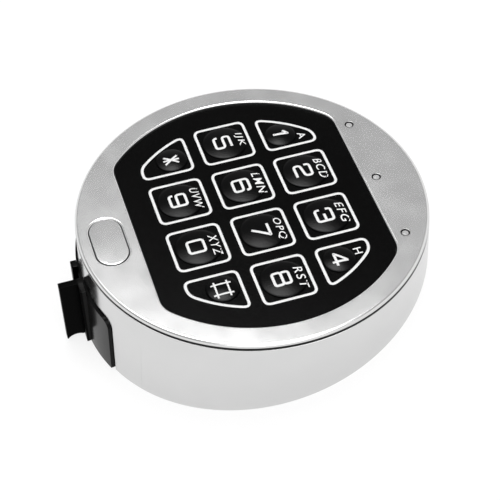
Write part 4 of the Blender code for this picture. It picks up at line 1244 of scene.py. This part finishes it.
def make_drawer_front():
    """The curved front, a piece of a cone that closes the window."""
    front = wall_cone("drawer_ring", front_proud)
    combine(front, wall_cone("drawer_ring_inside", front_proud - front_thickness, overrun))
    settle(front)
    size = (front_half_width, front_height, front_corner)
    outline = rounded_slab("drawer_outline", 0.0, 0.0, *size, *front_reach, 12)
    combine(front, settle(outline, Matrix.Rotation(quarter_turn, 4, "X")), "INTERSECT")

    def outer_edge(edge):
        middle = face_place.inverted() @ middle_of(edge)
        proud = math.hypot(middle.x, middle.y) - wall_radius(-middle.z)
        return sharp(edge) and proud > front_proud - front_slack

    ease(front, front_ease, outer_edge, 3)
    return front


def add_grip(front):
    """The fin between its two ears, cut clear of the wall above the window."""
    grip_top = front_top + grip_rise
    wall_y = -wall_radius(-front_top) - grip_clearance
    root_y = wall_y + front_thickness / 2
    bars = (
        ("fin", fin_low, fin_high, fin_y),
        ("near_ear", (fin_low + fin_high) / 2, grip_half_width, ear_y),
        ("far_ear", -grip_half_width, ear_width - grip_half_width, ear_y),
    )
    for layer, (name, low_x, high_x, out_y) in enumerate(bars):
        short = layer * nudge
        bar = block(name, (low_x, out_y, -lowest_depth), (high_x, root_y - short, grip_top - short))
        low = (-tool_beside, wall_y + short, front_top - grip_clearance)
        combine(bar, block("clear", low, (tool_beside, 0.0, tool_beside)))
        ease(bar, grip_ease, lambda edge: sharp(edge) and edge.verts[0].co.y < wall_y - grip_root)
        combine(front, settle(bar), "UNION")


def make_tray():
    """The open tray that holds the battery, with a sloped rear edge and a runner along each side."""
    top = tray_bottom + tray_side_height
    inner = tray_half_width - tray_side
    tray = block("tray", (-tray_half_width, tray_front, tray_bottom), (tray_half_width, tray_end, top))
    above = top + tool_below
    floor = tray_bottom + tray_floor
    combine(tray, block("hollow", (-inner, hollow_front, floor), (inner, tool_behind, above)))
    half_gap = inner - tray_ledge
    combine(tray, block("gap", (-half_gap, tray_floor_end, 0.0), (half_gap, tool_behind, above)))
    slope = Vector((0.0, tray_side_height - tray_rear_height, tray_rear_slope)).normalized()
    with shaping(tray):
        rear_edge = (0.0, tray_end, tray_bottom + tray_rear_height)
        bpy.ops.mesh.bisect(plane_co=rear_edge, plane_no=slope, use_fill=True, clear_outer=True)
    for side in (-1, 1):
        low_x, high_x = sorted((side * (tray_half_width - runner_root), side * runner_half_width))
        runner = block("runner", (low_x, tray_front, runner_bottom), (high_x, tray_end - nudge, runner_top))
        combine(tray, runner, "UNION")
    trim = wall_cone("drawer_trim", front_proud - front_thickness / 2, sides=240)
    return combine(tray, settle(trim), "INTERSECT")


def cut_arch(drawer):
    """The shallow arch in the fin's foot."""
    x, y = (fin_low + fin_high) / 2, (fin_y + ear_y) / 2 / cosine
    clear_selection()
    bpy.ops.mesh.primitive_cylinder_add(
        vertices=64,
        radius=arch_radius,
        depth=arch_length,
        location=(x, y, front_foot + arch_height - arch_radius),
        rotation=(0.0, quarter_turn, 0.0),
    )
    combine(drawer, named("arch"))


def make_drawer():
    """Curved front, grip, tray and runners, moulded in one piece."""
    drawer = make_drawer_front()
    add_grip(drawer)
    combine(drawer, make_tray(), "UNION")
    combine(drawer, block("foot", (-tool_far, -tool_far, -tool_far), (tool_far, tool_far, front_foot)))
    cut_arch(drawer)
    drawer.name = drawer.data.name = "battery_drawer_moulding"
    smooth(drawer, 30.0)
    return fit(drawer, drawer_black, "drawer_black", "drawer", "battery_drawer")


# Pieces inside the housing

def make_inner_pieces():
    """Copies of the inner solids with their edges eased and their round sides smooth."""
    outer = ("badge_plate", "battery_drawer", "housing", "key_", "keypad_panel", "light_pipe", "dome_sheet")
    in_drawer = ("battery_case", "battery_negative_terminal", "battery_positive_terminal")
    for name, node in sorted(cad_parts.items()):
        if name.startswith(outer):
            continue
        piece = node.copy()
        piece.data = node.data.copy()
        bpy.context.scene.collection.objects.link(piece)
        piece.name = piece.data.name = name + "_finished"
        take(piece)
        fix_place()
        with shaping(piece):
            bpy.ops.mesh.remove_doubles(threshold=weld)
            bpy.ops.mesh.dissolve_limited(angle_limit=math.radians(0.5))
        edges = piece.modifiers.new("edges", "BEVEL")
        edges.width = inner_ease
        edges.segments = 2
        edges.limit_method = "ANGLE"
        edges.angle_limit = math.radians(40)
        edges.use_clamp_overlap = True
        bpy.ops.object.modifier_apply(modifier=edges.name)
        smooth(piece, 35.0)
        finish = finish_of(name)
        slot = "moulded_black" if finish in (chip_black, buzzer_black) else finish.name
        fit(piece, finish, slot, "drawer" if name in in_drawer else "lock_body", name)


# Light, floor and camera

# The pale horizon, by how steeply one looks up: where it starts to dim, where it is dimmest, and both levels
horizon_light = (0.3, 0.62, 1.1, 0.485)

# Soft boxes in the sky: where each one is, the cosines at which it begins and is full, and its level
soft_boxes = (
    ((-0.291, 0.122, 0.949), 0.905, 0.977, 3.15),
    ((-0.42, 0.23, 0.874), 0.985, 0.998, 6.0),
    ((0.66, 0.05, 0.749), 0.9, 0.965, 2.2),
)

# The lamp that gives the floor its soft shadow
lamp_place = (0.35, 0.35, 0.8)
lamp_width = 0.5
lamp_power = 1.2

floor_width = 6.0
floor_colour = grey(0.9)
floor_glow = 0.75
floor_mirror_dimming = 0.16

# The camera looks along the axis that azimuth, height and roll give, from its place in the face's frame
camera_lens = 109.53
camera_nearest = 10 * MM
camera_azimuth = math.radians(73.9256)
camera_height = math.radians(48.2132)
camera_roll = math.radians(-1.8508)
camera_place = Vector((5.669, -1.652, 6.243)) * face_radius


def light_scene():
    """The world is white to the camera. To the object it is a pale horizon with soft boxes above."""
    world = bpy.data.worlds.new("studio")
    bpy.context.scene.world = world
    world.use_nodes = True
    studio = Nodes(world.node_tree)
    look = studio.node("ShaderNodeTexCoord", {}, {}, "Generated")

    def towards(direction, low, high, level_low, level_high):
        along = studio.measure("DOT_PRODUCT", look, tuple(Vector(direction).normalized()))
        return studio.range(along, low, high, level_low, level_high, interpolation_type="SMOOTHSTEP")

    level = towards((0.0, 0.0, 1.0), *horizon_light)
    for direction, start, full, brightness in soft_boxes:
        level = level + towards(direction, start, full, 0.0, brightness)
    (camera,) = studio.rays("Camera")
    background = world.node_tree.nodes["Background"].inputs
    studio.put(background["Color"], (1.0, 1.0, 1.0, 1.0))
    studio.put(background["Strength"], studio.node("ShaderNodeMix", {}, {0: camera, 2: level, 3: 1.0}))

    lamp = bpy.data.lights.new("soft_box", "AREA")
    lamp.shape = "DISK"
    lamp.size = lamp_width
    lamp.energy = lamp_power
    box = stand("soft_box", lamp)
    box.location = lamp_place
    box.rotation_euler = (-box.location).to_track_quat("-Z", "Y").to_euler()


def make_floor():
    """Pale floor that takes the object's shadow. To the camera and in the chrome it glows to near white."""
    clear_selection()
    bpy.ops.mesh.primitive_plane_add(size=floor_width)
    floor = named("floor")
    finish = Finish("floor_white", floor_colour, 0.9)
    glossy, camera = finish.rays("Glossy", "Camera")
    glow = {"Color": (1.0, 1.0, 1.0, 1.0), "Strength": 1.0 - glossy * floor_mirror_dimming}
    seen = camera * floor_glow + glossy * floor_glow
    layers = {0: seen, 1: finish.shader.outputs[0], 2: finish.node("ShaderNodeEmission", {}, glow)}
    surface = finish.tree.nodes["Material Output"].inputs["Surface"]
    finish.put(surface, finish.node("ShaderNodeMixShader", {}, layers))
    floor.data.materials.append(finish.material)


def set_camera():
    camera_data = bpy.data.cameras.new("camera")
    camera_data.lens = camera_lens
    camera_data.sensor_width = 36.0
    camera_data.clip_start = camera_nearest
    sideways, forwards = math.cos(camera_azimuth), math.sin(camera_azimuth)
    level = math.cos(camera_height)
    back = Vector((forwards * level, -sideways * level, math.sin(camera_height)))
    right = Vector((sideways, forwards, 0.0))
    up = back.cross(right)
    across = math.cos(camera_roll) * right + math.sin(camera_roll) * up
    along = -math.sin(camera_roll) * right + math.cos(camera_roll) * up
    turn = Matrix((across, along, back)).transposed().to_4x4()
    camera = stand("camera", camera_data)
    camera.matrix_world = face_place @ Matrix.Translation(camera_place) @ turn
    bpy.context.scene.camera = camera
    bpy.context.scene.view_settings.view_transform = "Standard"


make_housing()
make_panel()
make_keys()
make_panel_print(make_legends())
make_badge()
make_pipes()
make_drawer()
make_inner_pieces()
make_floor()
light_scene()
set_camera()
